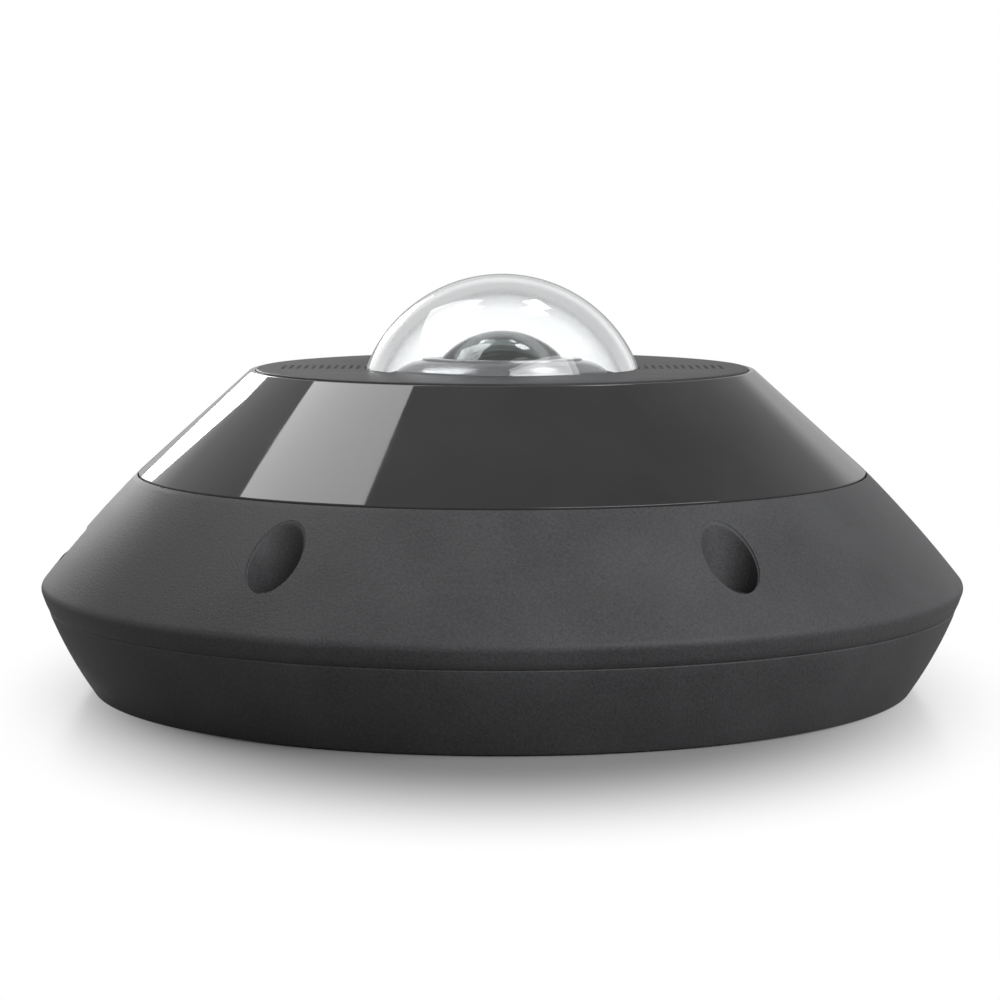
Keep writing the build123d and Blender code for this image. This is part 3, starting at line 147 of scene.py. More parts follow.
def bulged(start, end, bulge, steps=12):
    """Corners along a chord that swells by the bulge, to the right of its direction."""
    run = Vector(end) - Vector(start)
    side = Vector((run.y, -run.x)).normalized()
    points = []
    for k in range(steps + 1):
        t = k / steps
        place = Vector(start) + run * t + side * 4 * bulge * t * (1 - t)
        points.append((place.x, place.y, 0))
    return points


def oblong(width, depth, corner, centre=(0, 0), steps=5):
    """The outline of a rectangle with rounded corners."""
    x, y = width / 2, depth / 2
    square = [(-x, -y, corner), (x, -y, corner), (x, y, corner), (-x, y, corner)]
    return rounded([(centre[0] + a, centre[1] + b, c) for a, b, c in square], steps)


def circle(radius, centre=(0, 0), segments=SMALL_ROUND):
    """The outline of a circle."""
    angles = [2 * pi * k / segments for k in range(segments)]
    return [(centre[0] + radius * cos(a), centre[1] + radius * sin(a)) for a in angles]


print("a swollen chord has", len(bulged((0, 0), (1, 1), 0.1)), "points, a circle", len(circle(1)))

# %% [markdown]
# ### Turning and raising
#
# A turned form repeats its outline round the axis, and a walled one lifts its outline straight up.
# Modifiers could do both, but here they come out as plain points and faces, ready to be copied to every
# place where the real camera has the same boss, screw or hole.

# %% Turn an outline


def turned(outline, segments=ROUND, centre=(0, 0)):
    """Turn a closed outline of (radius, height) points about an upright axis."""
    vertices = []
    rings = []
    for radius, height in outline:
        first = len(vertices)
        if radius < 1e-6:
            rings.append([first] * segments)
            vertices.append((centre[0], centre[1], height))
            continue
        rings.append(list(range(first, first + segments)))
        for k in range(segments):
            angle = 2 * pi * k / segments
            vertices.append((centre[0] + radius * cos(angle), centre[1] + radius * sin(angle), height))
    faces = []
    for low, high in zip(rings, rings[1:] + rings[:1]):
        for k in range(segments):
            j = (k + 1) % segments
            corners = list(dict.fromkeys([low[k], low[j], high[j], high[k]]))
            if len(corners) > 2:
                faces.append(corners)
    return vertices, faces


print("a turned ring has", len(turned([(9, 0), (10, 0), (10, 1), (9, 1)])[1]), "faces")

# %% [markdown]
# A moulded piece never has a knife's edge. Walls are raised with their top and bottom edges rounded in a
# few steps, by moving the outline inward along its own normals. Blocks and round bars are the two outlines
# used most.

# %% Raise walls


def walled(outline, low, high, edge=0.0, steps=2):
    """A solid with straight walls over a closed outline, its top and bottom edges rounded."""
    count = len(outline)
    normals = []
    for i in range(count):
        before = Vector(outline[i]) - Vector(outline[i - 1])
        after = Vector(outline[(i + 1) % count]) - Vector(outline[i])
        side = before.normalized() + after.normalized()
        normals.append(Vector((side.y, -side.x)).normalized())
    levels = [(low, 0.0), (high, 0.0)]
    if edge:
        turns = [pi / 2 * k / steps for k in range(steps + 1)]
        levels = [(low + edge * (1 - sin(a)), edge * (1 - cos(a))) for a in reversed(turns)]
        levels += [(high - edge * (1 - sin(a)), edge * (1 - cos(a))) for a in turns]
    vertices = []
    for height, inset in levels:
        for (x, y), normal in zip(outline, normals):
            vertices.append((x - normal.x * inset, y - normal.y * inset, height))
    faces = [list(range(count))[::-1]]
    for level in range(len(levels) - 1):
        for i in range(count):
            j = (i + 1) % count
            below, over = level * count, (level + 1) * count
            faces.append([below + i, below + j, over + j, over + i])
    faces.append(list(range((len(levels) - 1) * count, len(levels) * count)))
    return vertices, faces


def brick(size, centre, low, high, corner=0.15, edge=0.1):
    """A block with rounded upright corners and rounded edges."""
    return walled(oblong(size[0], size[1], corner, centre, 3), low, high, edge)


def rod(radius, centre, low, high, segments=SMALL_ROUND, edge=0.0):
    """A round bar between two heights, its edges rounded if a radius is given."""
    return walled(circle(radius, centre, segments), low, high, edge)


print("a block has", len(brick((2, 2), (0, 0), 0, 1)[1]), "faces, a bar", len(rod(1, (0, 0), 0, 1)[1]))

# %% [markdown]
# Much of this camera comes in sets: four wells, six screws under the ring, a few hundred small holes. A set
# is one form, copied to a list of spots and joined, because a single tool with many parts cuts faster than
# many tools.

# %% Join and repeat forms


def together(*forms):
    """Several forms as one."""
    vertices = []
    faces = []
    for points, polygons in forms:
        faces += [[i + len(vertices) for i in polygon] for polygon in polygons]
        vertices += points
    return vertices, faces


def copies(form, spots):
    """One form repeated at (x, y, turn in degrees) spots about its own origin."""
    placed = []
    for x, y, turn in spots:
        c, s = cos(radians(turn)), sin(radians(turn))
        points = [(x + c * a - s * b, y + s * a + c * b, z) for a, b, z in form[0]]
        placed.append((points, form[1]))
    return together(*placed)


def around(radius, angles):
    """Spots on a circle about the axis, each turned to face outward."""
    return [(radius * cos(radians(a)), radius * sin(radians(a)), a) for a in angles]


six_rods = copies(rod(1, (0, 0), 0, 1), around(5, range(0, 360, 60)))
print("six rods round a circle have", len(six_rods[0]), "points")

# %% [markdown]
# ## From form to object
#
# A smooth cone needs smooth shading, but a machined corner needs a crisp one, so every face is shaded
# smooth and only edges that turn by more than a set angle stay sharp. Screw wells, ports and sockets are
# cut with boolean modifiers, which are then applied: the finished piece is a plain mesh with nothing left
# to work out.

# %% Make objects
CRISP = 32


def soften(mesh, angle):
    """Shade the mesh smooth, with its true corners kept sharp."""
    mesh.polygons.foreach_set("use_smooth", [True] * len(mesh.polygons))
    mesh.set_sharp_from_angle(angle=radians(angle))
    mesh.update()


def make(name, form, angle=CRISP):
    """An object from a form, with its faces turned outward."""
    mesh = bpy.data.meshes.new(name)
    mesh.from_pydata([(x * MM, y * MM, z * MM) for x, y, z in form[0]], [], form[1])
    work = bmesh.new()
    work.from_mesh(mesh)
    bmesh.ops.recalc_face_normals(work, faces=work.faces)
    work.to_mesh(mesh)
    work.free()
    soften(mesh, angle)
    obj = bpy.data.objects.new(name, mesh)
    bpy.context.scene.collection.objects.link(obj)
    return obj


print("edges that turn by more than", CRISP, "degrees stay sharp")

# %% [markdown]
# All the cuts of one piece are put on it together and worked out once, in the order in which a workshop
# would make them: first what is added, then what is drilled. The tools are thrown away afterwards.

# %% Carve objects


def carve(obj, steps, angle=CRISP):
    """Add forms to an object or cut them out, in the given order of (operation, form) steps."""
    tools = []
    for operation, form in steps:
        tool = make("tool", form)
        change = obj.modifiers.new("carve", "BOOLEAN")
        change.operation = operation
        change.solver = "MANIFOLD"
        change.object = tool
        tools.append(tool)
    bpy.context.view_layer.update()
    result = bpy.data.meshes.new_from_object(obj.evaluated_get(bpy.context.evaluated_depsgraph_get()))
    obj.modifiers.clear()
    spare = obj.data
    obj.data = result
    bpy.data.meshes.remove(spare)
    for tool in tools:
        mesh = tool.data
        bpy.data.objects.remove(tool)
        bpy.data.meshes.remove(mesh)
    soften(result, angle)
    return obj


print("carving starts with", len(bpy.data.meshes), "meshes in the file")

# %% [markdown]
# A finished object also has to be told which moving body it rides on and which finish it wears, and the
# pieces of the engineering model that it stands for have to be hidden. One helper does all of that in the
# same order each time, so nothing is missed.

# %% Dress objects


def dress(obj, material, body, slot, *replaced):
    """Give a piece its material and its body, and hide the nodes that it stands for; the slot is not used."""
    obj.data.materials.clear()
    obj.data.materials.append(material)
    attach(obj, body)
    if replaced:
        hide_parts(*replaced)
    print(obj.name, len(obj.data.polygons), "faces")
    return obj


def finish_node(node, material):
    """Give a piece of the engineering model its material."""
    obj = frame["nodes"][node]
    obj.data.materials.clear()
    obj.data.materials.append(material)
    print(node, "is finished in", material.name)


print("pieces that need a finish:", len(frame["nodes"]))

# %% [markdown]
# ## Sizes that the pieces share
#
# Heights and radii are read from the engineering model where one of its pieces ends there, so that the
# dressed pieces can't drift away from it. The corners of the outer form, which no piece ends in, are
# written once here.

# %% Read the sizes


def low(node, axis=2):
    """Lowest place of a node along one axis, in millimetres."""
    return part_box(node)[0][axis] / MM


def high(node, axis=2):
    """Highest place of a node along one axis, in millimetres."""
    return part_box(node)[1][axis] / MM


foot_radius = 73.0
rim_radius = 82.2
rim_height = 18.4
rim_fillet = 1.6
seam_radius = high("window_gasket", 0)
seam_height = 38.1
shoulder_radius = 44.9
shoulder_height = high("infrared_window")
parting = high("base_housing")
floor_top = 3.0
flank_bulge = 0.75
brow_bulge = 0.4
parting_chamfer = 0.2
face_top = high("faceplate")
deck_top = low("faceplate")
deck_bottom = high("dome_gasket")
dome_radius = 26.1
dome_wall = 3.0
dome_centre = high("dome_bubble") - dome_radius
flange_bottom = low("dome_bubble")
flange_radius = high("dome_bubble", 0)
print("foot, rim, seam, shoulder:", foot_radius, rim_radius, round(seam_radius, 2), shoulder_radius)

# %% [markdown]
# The bubble, the hole in the ring and the well round the lens all follow one ball. Two helpers give that
# ball's outline and its radius at any height.

# %% Measure the bubble's ball


def ball_arc(radius, start, end, steps, centre=dome_centre):
    """Points on a ball's half outline between two heights."""
    first = asin(max(-1, min(1, (start - centre) / radius)))
    last = asin(max(-1, min(1, (end - centre) / radius)))
    angles = [first + (last - first) * k / steps for k in range(steps + 1)]
    return [(radius * cos(a), centre + radius * sin(a)) for a in angles]


def ball_reach(radius, height, centre=dome_centre):
    """Radius of a ball about the bubble's centre at one height."""
    return sqrt(radius ** 2 - (height - centre) ** 2)


print("the ball's centre lies", round(dome_centre, 2), "mm up, and its radius is", dome_radius)

# %% [markdown]
# ## Finishes
#
# A finish is a small tree of nodes on the principled shader. Pictures could be wrapped round the pieces
# instead, but noise in millimetres needs no unwrapping, keeps its grain at every size of render and runs on
# round a corner without a seam. The helpers below name the few steps that every finish repeats.

# %% Make a material and wire its nodes


def finish(name, colour, rough, metal=0.0, extra=()):
    """A material with its plain numbers on the shader's own sockets."""
    material = bpy.data.materials.new(name)
    material.use_nodes = True
    inputs = material.node_tree.nodes["Principled BSDF"].inputs
    inputs["Base Color"].default_value = (*colour, 1)
    inputs["Roughness"].default_value = rough
    inputs["Metallic"].default_value = metal
    for socket, value in dict(extra).items():
        inputs[socket].default_value = value
    return material


def add(material, kind, inputs, out=0, **settings):
    """Add a node, feed its inputs with numbers or with other nodes, and give its output."""
    tree = material.node_tree
    made = tree.nodes.new("ShaderNode" + kind)
    for name, value in settings.items():
        setattr(made, name, value)
    for socket, value in inputs.items():
        if isinstance(value, bpy.types.NodeSocket):
            tree.links.new(value, made.inputs[socket])
        else:
            made.inputs[socket].default_value = value
    return made.outputs[out]


def wire(material, socket, value):
    """Feed one socket of the material's shader."""
    material.node_tree.links.new(value, material.node_tree.nodes["Principled BSDF"].inputs[socket])


def maths(material, operation, *values):
    """One sum on numbers or other nodes."""
    return add(material, "Math", dict(enumerate(values)), operation=operation)


print("finishes are made in millimetres; 1 mm is", MM, "m")

# %% [markdown]
# ### Patterns
#
# Every pattern starts from where a point lies on its piece. On a turned piece that place is given as radius
# and height, so the pattern runs round the axis as a lathe's marks do.

# %% Find the place for a pattern


def spot(material, stretch=(1, 1, 1)):
    """Where a point lies on the piece in millimetres, stretched along the axes."""
    here = add(material, "TexCoord", {}, "Object")
    return add(material, "VectorMath", {0: here, 1: [s / MM for s in stretch]}, operation="MULTIPLY")


def turned_spot(material, across):
    """Radius and height of a point as the place for a pattern that runs round the axis."""
    flat = add(material, "VectorMath", {0: spot(material, (1, 1, 0))}, "Value", operation="LENGTH")
    up = add(material, "SeparateXYZ", {0: spot(material)}, "Z")
    ring = add(material, "CombineXYZ", {0: flat, 1: up})
    return add(material, "VectorMath", {0: ring, 1: [1 / across] * 3}, operation="MULTIPLY")


def blotches(material, size, detail=2.0, where=None):
    """Smooth noise whose blotches are about one size across, in millimetres."""
    where = where or spot(material)
    return add(material, "TexNoise", {"Vector": where, "Scale": 1 / size, "Detail": detail})


print("patterns can follow the axes or run round one")

# %% [markdown]
# A pattern is then stretched to the range that is wanted, blended into the colour and raised as relief. The
# relief has a depth in millimetres, so a scratch on a small screw is as deep as one on the casting. In a
# grained finish one noise makes tone, gloss and relief alike, because on a real surface a raised grain is
# also the one that is rubbed bright.

# %% Stretch, blend and raise a pattern


def spread(material, value, low_in, high_in, low_out=0.0, high_out=1.0):
    """Stretch a value from one range to another."""
    ends = {"From Min": low_in, "From Max": high_in, "To Min": low_out, "To Max": high_out}
    return add(material, "MapRange", {"Value": value, **ends})


def blend(material, factor, first, second):
    """Mix two colours, or two nodes' colours."""
    pair = [c if isinstance(c, bpy.types.NodeSocket) else (*c, 1) for c in (first, second)]
    return add(material, "MixRGB", {"Fac": factor, "Color1": pair[0], "Color2": pair[1]})


def relief(material, height, depth, under=None):
    """Bumps of one depth in millimetres, over the bumps of another layer if it is given."""
    inputs = {"Height": height, "Distance": depth * MM}
    if under:
        inputs["Normal"] = under
    return add(material, "Bump", inputs)


def grained(name, dark, light, rough, size, depth, metal=0.0, extra=()):
    """A finish with fine grain: its tone, its gloss and its surface all vary with one noise."""
    material = finish(name, light, rough[0], metal, extra)
    fine = spread(material, blotches(material, size, 3), 0.3, 0.7)
    broad = spread(material, blotches(material, 40 * size, 2), 0.35, 0.65)
    tone = maths(material, "MULTIPLY_ADD", broad, 0.35, maths(material, "MULTIPLY", fine, 0.65))
    wire(material, "Base Color", blend(material, tone, dark, light))
    wire(material, "Roughness", spread(material, tone, 0, 1, *rough))
    wire(material, "Normal", relief(material, fine, depth))
    return material


print("a grained finish varies in tone, gloss and relief at once")

# %% [markdown]
# ### Castings, glossy ring and faceplate
#
# The castings wear a powder coat, which bakes into a skin of tiny rounded grains about a third of a
# millimetre across. The ring is moulded from smoked plastic that only infrared light passes: almost black
# inside, with a polished face whose reflections wander a little, like the peel of an orange, because no
# mould is perfectly flat. The faceplate is the same plastic from a mould with an etched texture.

# %% Outer finishes
powder_coat = grained("powder coat", (0.052, 0.052, 0.055), (0.098, 0.099, 0.103), (0.46, 0.58), 0.42, 0.03,
                      extra={"Specular IOR Level": 0.22})
faceplate_finish = grained("etched faceplate", (0.040, 0.040, 0.043), (0.068, 0.069, 0.073), (0.40, 0.52),
                           0.22, 0.012, extra={"Specular IOR Level": 0.13})


def smoked_gloss():
    """Polished smoked plastic with a faint wander in its reflections."""
    gloss = {"IOR": 1.52, "Coat Weight": 0.25, "Coat Roughness": 0.02}
    material = finish("smoked gloss", (0.016, 0.016, 0.018), 0.045, 0, gloss)
    haze = spread(material, blotches(material, 14, 3), 0.35, 0.7)
    wire(material, "Base Color", blend(material, haze, (0.013, 0.013, 0.015), (0.021, 0.021, 0.023)))
    wire(material, "Roughness", spread(material, haze, 0, 1, 0.035, 0.06))
    wire(material, "Normal", relief(material, blotches(material, 5, 1), 0.004))
    return material


smoked = smoked_gloss()
print("outer finishes:", powder_coat.name, smoked.name, faceplate_finish.name)

# %% [markdown]
# ### Clear pieces
#
# The bubble is polycarbonate with a real wall, so light bends into it and out again. Where the wall is seen
# edge on, a Layer Weight node paints it grey from the shape alone: a little of that grey is the longer path
# through the plastic, most of it is painted shade for the grey band along the bubble's rim. The front glass
# is denser and tinted to let about half the light through. Where it grazes it turns slightly violet from its
# coating, and darker from painted shade along its grazing edge. Dust breaks the gloss of each a little.

# %% Clear finishes


def clear(name, colour, index, rough=0.0):
    """A clear finish whose gloss is broken by faint dust."""
    material = finish(name, colour, rough, 0, {"IOR": index, "Transmission Weight": 1.0})
    dust = spread(material, blotches(material, 1.5, 4), 0.62, 0.75)
    wire(material, "Roughness", spread(material, dust, 0, 1, rough, rough + 0.03))
    return material


def coated_glass_with_shade():
    """Dense glass tinted to half, slightly violet and darker where it grazes; the darkening is painted shade.
    """
    material = clear("coated glass", (0.50, 0.52, 0.52), 1.72)
    facing = add(material, "LayerWeight", {"Blend": 0.35}, "Facing")
    # Painted shade: the tint turns darker towards the glass's grazing edge, which draws a dark crescent on
    # the lens.
    tint = blend(material, spread(material, facing, 0.2, 0.8), (0.50, 0.54, 0.52), (0.20, 0.19, 0.22))
    wire(material, "Base Color", tint)
    return material


clear_tint = (0.965, 0.975, 0.98)
bubble_plastic = clear("clear bubble", clear_tint, 1.58)
# Painted shade: the wall's colour turns grey where it is seen edge on, drawing the grey band along the rim.
turned_away = add(bubble_plastic, "LayerWeight", {"Blend": 0.5}, "Facing")
edge_on_shade = spread(bubble_plastic, turned_away, 0.50, 0.78)
wire(bubble_plastic, "Base Color", blend(bubble_plastic, edge_on_shade, clear_tint, (0.50, 0.51, 0.52)))
guide_plastic = clear("clear guide", (0.93, 0.95, 0.96), 1.49, 0.06)
lens_glass = coated_glass_with_shade()
filter_glass = clear("infrared filter glass", (0.55, 0.84, 0.82), 1.52)
print("clear finishes:", bubble_plastic.name, guide_plastic.name, lens_glass.name, filter_glass.name)

# %% [markdown]
# ### Turned metal
#
# A lathe leaves rings, far finer across than along. The noise is therefore read from the radius and the
# height only, so it runs unbroken round the axis. The shader's anisotropy, turned by a quarter from the
# direction of the rings, stretches the highlight across them.

# %% Metal finishes


def turned_metal(name, dark, light, rough, across, depth, stretch=0.6):
    """Metal with rings that a lathe left."""
    material = finish(name, light, rough[0], 1.0, {"Anisotropic": stretch})
    rings = add(material, "TexNoise", {"Vector": turned_spot(material, across), "Scale": 1.0, "Detail": 4.0})
    tone = spread(material, rings, 0.3, 0.7)
    smudge = spread(material, blotches(material, 4, 2), 0.35, 0.75)
    mixed = maths(material, "MULTIPLY_ADD", smudge, 0.3, maths(material, "MULTIPLY", tone, 0.7))
    wire(material, "Base Color", blend(material, mixed, dark, light))
    wire(material, "Roughness", spread(material, mixed, 0, 1, *rough))
    wire(material, "Normal", relief(material, tone, depth))
    wire(material, "Tangent", add(material, "Tangent", {}, direction_type="RADIAL", axis="Z"))
    material.node_tree.nodes["Principled BSDF"].inputs["Anisotropic Rotation"].default_value = 0.25
    return material


brushed_cone = turned_metal("brushed cone", (0.24, 0.24, 0.25), (0.44, 0.445, 0.45), (0.20, 0.28),
                            0.12, 0.002, 0.85)
black_anodised = turned_metal("black anodised", (0.010, 0.010, 0.011), (0.024, 0.024, 0.026), (0.30, 0.44),
                              0.3, 0.006)
screw_steel = turned_metal("stainless steel", (0.38, 0.38, 0.37), (0.62, 0.62, 0.61), (0.22, 0.38),
                           0.2, 0.003, 0.4)
tinned_steel = grained("tinned steel", (0.42, 0.42, 0.41), (0.60, 0.60, 0.59), (0.24, 0.40), 0.5, 0.004, 1.0)
print("metals:", brushed_cone.name, black_anodised.name, screw_steel.name, tinned_steel.name)

# %% [markdown]
# ### Plastics, rubbers and resins inside
#
# Inside, nearly every piece is moulded. What tells them apart is grain and gloss: the frame has the even
# bite of a spark-eroded mould, rubber is duller and softer, chips are pressed from a sandy epoxy, and the
# sleeves, terminals and lamps are smooth. Each row gives a dark and a light tone, the range of roughness,
# the size and the depth of the grain, and a one where the finish is metal.

# %% Inner finishes
inner_finish_rows = {
    "matte black": ((0.007, 0.007, 0.008), (0.017, 0.017, 0.018), (0.55, 0.75), 0.25, 0.008),
    "moulded frame": ((0.030, 0.031, 0.034), (0.052, 0.053, 0.057), (0.38, 0.52), 0.18, 0.01),
    "chip epoxy": ((0.014, 0.014, 0.015), (0.034, 0.034, 0.035), (0.42, 0.62), 0.12, 0.004),
    "seal rubber": ((0.012, 0.012, 0.012), (0.026, 0.026, 0.027), (0.60, 0.82), 0.6, 0.006),
    "thermal pad": ((0.26, 0.31, 0.37), (0.38, 0.43, 0.49), (0.62, 0.80), 0.35, 0.012),
    "white plastic": ((0.62, 0.62, 0.59), (0.74, 0.74, 0.71), (0.36, 0.50), 0.5, 0.003),
    "terminal green": ((0.010, 0.17, 0.055), (0.020, 0.26, 0.085), (0.22, 0.36), 0.6, 0.003),
    "shrunk sleeve": ((0.012, 0.013, 0.030), (0.026, 0.028, 0.055), (0.20, 0.34), 1.4, 0.006),
    "card plastic": ((0.018, 0.018, 0.021), (0.034, 0.034, 0.038), (0.40, 0.55), 0.15, 0.003),
    "button plastic": ((0.42, 0.05, 0.022), (0.60, 0.085, 0.04), (0.34, 0.46), 0.4, 0.003),
    "gold contact": ((0.72, 0.47, 0.18), (0.92, 0.66, 0.28), (0.16, 0.30), 0.4, 0.001, 1.0),
    "capacitor ceramic": ((0.36, 0.24, 0.15), (0.52, 0.37, 0.24), (0.40, 0.55), 0.2, 0.003),
    "lamp base": ((0.66, 0.65, 0.60), (0.80, 0.79, 0.74), (0.26, 0.40), 0.3, 0.002),
}
inner_finish = {name: grained(name, *row) for name, row in inner_finish_rows.items()}
print("inner finishes:", len(inner_finish))

# %% [markdown]
# ### Boards, mesh and film
#
# A circuit board is fibreglass under green lacquer. Its tracks show through as slightly lighter lines, its
# drilled holes as small gold rings, and its cut edge as bare straw-coloured glass. Drawing real tracks as
# geometry would cost thousands of faces for lines a tenth of a millimetre high, so a pattern of bundled
# stripes stands for them.

# %% Lacquer the circuit board


def circuit_board():
    """Green lacquer over bundled tracks, gold rings round drilled holes, and bare edges."""
    coat = {"Coat Weight": 0.4, "Coat Roughness": 0.15}
    material = finish("circuit board", (0.010, 0.085, 0.035), 0.3, 0, coat)
    here = spot(material, (1, 1, 0))
    patch = add(material, "TexVoronoi", {"Vector": here, "Scale": 1 / 7}, "Color", distance="CHEBYCHEV")
    choice = add(material, "SeparateXYZ", {0: patch}, 0)
    present = maths(material, "GREATER_THAN", add(material, "SeparateXYZ", {0: patch}, 1), 0.3)
    tracks = []
    for axis in (0, 1):
        place = maths(material, "MULTIPLY", add(material, "SeparateXYZ", {0: here}, axis), 1.5)
        tracks.append(maths(material, "LESS_THAN", maths(material, "FRACT", place), 0.42))
    across = maths(material, "GREATER_THAN", choice, 0.5)
    bundle = maths(material, "MULTIPLY", tracks[0], across)
    other = maths(material, "MULTIPLY", tracks[1], maths(material, "SUBTRACT", 1.0, across))
    track = maths(material, "MULTIPLY", maths(material, "ADD", bundle, other), present)
    hole = add(material, "TexVoronoi", {"Vector": here, "Scale": 1 / 3.4, "Randomness": 0.55}, "Distance")
    ring = maths(material, "LESS_THAN", hole, 0.10)
    bore = maths(material, "LESS_THAN", hole, 0.045)
    lacquer = blend(material, track, (0.006, 0.060, 0.026), (0.014, 0.115, 0.045))
    dust = maths(material, "MULTIPLY", blotches(material, 9, 3), 0.25)
    dusty = blend(material, dust, lacquer, (0.02, 0.09, 0.05))
    ringed = blend(material, ring, dusty, (0.62, 0.45, 0.18))
    drilled = blend(material, bore, ringed, (0.01, 0.02, 0.015))
    upright = add(material, "SeparateXYZ", {0: add(material, "TexCoord", {}, "Normal")}, 2)
    edge = maths(material, "LESS_THAN", maths(material, "ABSOLUTE", upright), 0.5)
    weave = blotches(material, 0.3, 3, spot(material, (1, 1, 4)))
    glass_edge = blend(material, weave, (0.30, 0.26, 0.12), (0.46, 0.42, 0.24))
    wire(material, "Base Color", blend(material, edge, drilled, glass_edge))
    wire(material, "Metallic", maths(material, "MULTIPLY", ring, maths(material, "SUBTRACT", 1.0, edge)))
    wire(material, "Roughness", spread(material, track, 0, 1, 0.34, 0.26))
    wire(material, "Normal", relief(material, maths(material, "ADD", track, ring), 0.03))
    return material


board_finish = circuit_board()
print("board finish:", board_finish.name, "with", len(board_finish.node_tree.nodes), "nodes")

# %% [markdown]
# Behind the faceplate's holes lies a fine black mesh that keeps water out and lets sound through. Its
# threads are a twelfth of a millimetre apart, too fine to model, so two crossed waves stand for the weave.

# %% Weave the mesh


def woven_mesh():
    """Fine black acoustic mesh: two sets of threads that cross over each other."""
    material = finish("acoustic mesh", (0.02, 0.02, 0.02), 0.7, 0, {"Sheen Weight": 0.25})
    threads = []
    for axis in (0, 1):
        place = add(material, "SeparateXYZ", {0: spot(material)}, axis)
        threads.append(maths(material, "SINE", maths(material, "MULTIPLY", place, 2 * pi / 0.16)))
    crossing = spread(material, maths(material, "MULTIPLY", *threads), -1, 1)
    wire(material, "Base Color", blend(material, crossing, (0.006, 0.006, 0.006), (0.035, 0.035, 0.037)))
    wire(material, "Roughness", spread(material, crossing, 0, 1, 0.85, 0.6))
    wire(material, "Normal", relief(material, crossing, 0.03))
    return material


mesh_finish = woven_mesh()
print("mesh finish:", mesh_finish.name)

# %% [markdown]
# The flat cable is white film over bare conductors, half a millimetre apart, that show through as grey
# lines.

# %% Laminate the cable


def flat_film():
    """White film over twenty flat conductors that show through as grey lines."""
    material = finish("flat cable film", (0.72, 0.71, 0.66), 0.35)
    line = maths(material, "FRACT", add(material, "SeparateXYZ", {0: spot(material, (2, 2, 2))}, 0))
    from_middle = maths(material, "ABSOLUTE", maths(material, "SUBTRACT", line, 0.5))
    inside = maths(material, "LESS_THAN", from_middle, 0.3)
    worn = spread(material, blotches(material, 3, 2), 0.3, 0.7, 0.75, 1.0)
    tone = maths(material, "MULTIPLY", inside, worn)
    wire(material, "Base Color", blend(material, tone, (0.78, 0.77, 0.73), (0.50, 0.50, 0.49)))
    wire(material, "Roughness", spread(material, tone, 0, 1, 0.42, 0.30))
    wire(material, "Normal", relief(material, inside, 0.02))
    return material


film_finish = flat_film()
print("cable finish:", film_finish.name)

# %% [markdown]
# The image sensor lies under a cover glass. Its field of tiny cells is dark and shimmers from green to
# violet as it turns, and a pale ceramic frame runs round it.

# %% Glaze the sensor


def sensor_glass():
    """The image sensor under its cover glass: a dark field that shimmers, in a matte frame."""
    glaze = {"Coat Weight": 0.6, "Coat Roughness": 0.03}
    material = finish("sensor glass", (0.04, 0.05, 0.06), 0.12, 0, glaze)
    facing = add(material, "LayerWeight", {"Blend": 0.6}, "Facing")
    shimmer = blend(material, facing, (0.02, 0.05, 0.045), (0.10, 0.05, 0.12))
    square = add(material, "VectorMath", {0: spot(material, (1, 1, 0))}, operation="ABSOLUTE")
    parts = [add(material, "SeparateXYZ", {0: square}, axis) for axis in (0, 1)]
    reach = maths(material, "MAXIMUM", *parts)
    frame_edge = spread(material, reach, 3.1, 3.2)
    wire(material, "Base Color", blend(material, frame_edge, shimmer, (0.30, 0.28, 0.24)))
    wire(material, "Roughness", spread(material, blotches(material, 0.6, 2), 0.3, 0.7, 0.08, 0.2))
    return material


sensor_finish = sensor_glass()
print("sensor finish:", sensor_finish.name)

# %% [markdown]
# ## The lower casting
#
# On the real object this is one pressure casting: a dish with a sealing wall, a dry pocket outside it, and
# bosses for the screws. It could be carved from the engineering model, but the flank would keep that
# model's facets. So the half outline is drawn once, turned in 288 steps, and the bosses and holes are
# joined and cut afterwards.

# %% Draw the flank and the cone above it
flank = bulged((foot_radius, 0), (rim_radius, rim_height), flank_bulge, 16)
brow = bulged((rim_radius, rim_height), (seam_radius, seam_height), brow_bulge, 16)


def flank_reach(height):
    """Radius of the lower flank at one height, along its swelling curve."""
    along = height / rim_height
    chord = sqrt(rim_height ** 2 + (rim_radius - foot_radius) ** 2)
    swell = 4 * flank_bulge * along * (1 - along) * rim_height / chord
    return foot_radius + (rim_radius - foot_radius) * along + swell


print("the rim stands", round(rim_radius - foot_radius, 2), "mm out over the foot")

# %% [markdown]
# Inside the outer wall stands a second one, and a groove in its top holds the seal. Floor, walls and groove
# are one outline, from the axis to the foot's edge and back along the inside.

# %% Draw the dish
seal_wall = (62.0, 69.0)
seal_groove = (64.0, 67.0)
groove_floor = 12.5
casting_wall = 3.0
foot_edge = 0.35
lower_flank = [(x, z) for x, z, _ in flank if foot_edge < z < parting - parting_chamfer]
lower_outline = rounded([(0, 0, 0), (foot_radius, 0, foot_edge)] + [(x, z, 0) for x, z in lower_flank] + [
    (flank_reach(parting - parting_chamfer), parting - parting_chamfer, 0),
    (flank_reach(parting) - parting_chamfer, parting, 0),
    (flank_reach(parting) - casting_wall - 0.3, parting, 0.3),
    (flank_reach(floor_top) - casting_wall - 0.6, floor_top, 1.0),
    (seal_wall[1], floor_top, 0.8),
    (seal_wall[1], parting, 0.3),
    (seal_groove[1], parting, 0),
    (seal_groove[1], groove_floor, 0),
    (seal_groove[0], groove_floor, 0),
    (seal_groove[0], parting, 0),
    (seal_wall[0], parting, 0.3),
    (seal_wall[0], floor_top, 1.0),
    (0, floor_top, 0),
], 4)
print("the dish's outline has", len(lower_outline), "points")

# %% [markdown]
# Where the screws go decides where the bosses stand. Each set of screws is a list of spots, and the cover,
# the boards and the screws themselves use the same lists again further down.

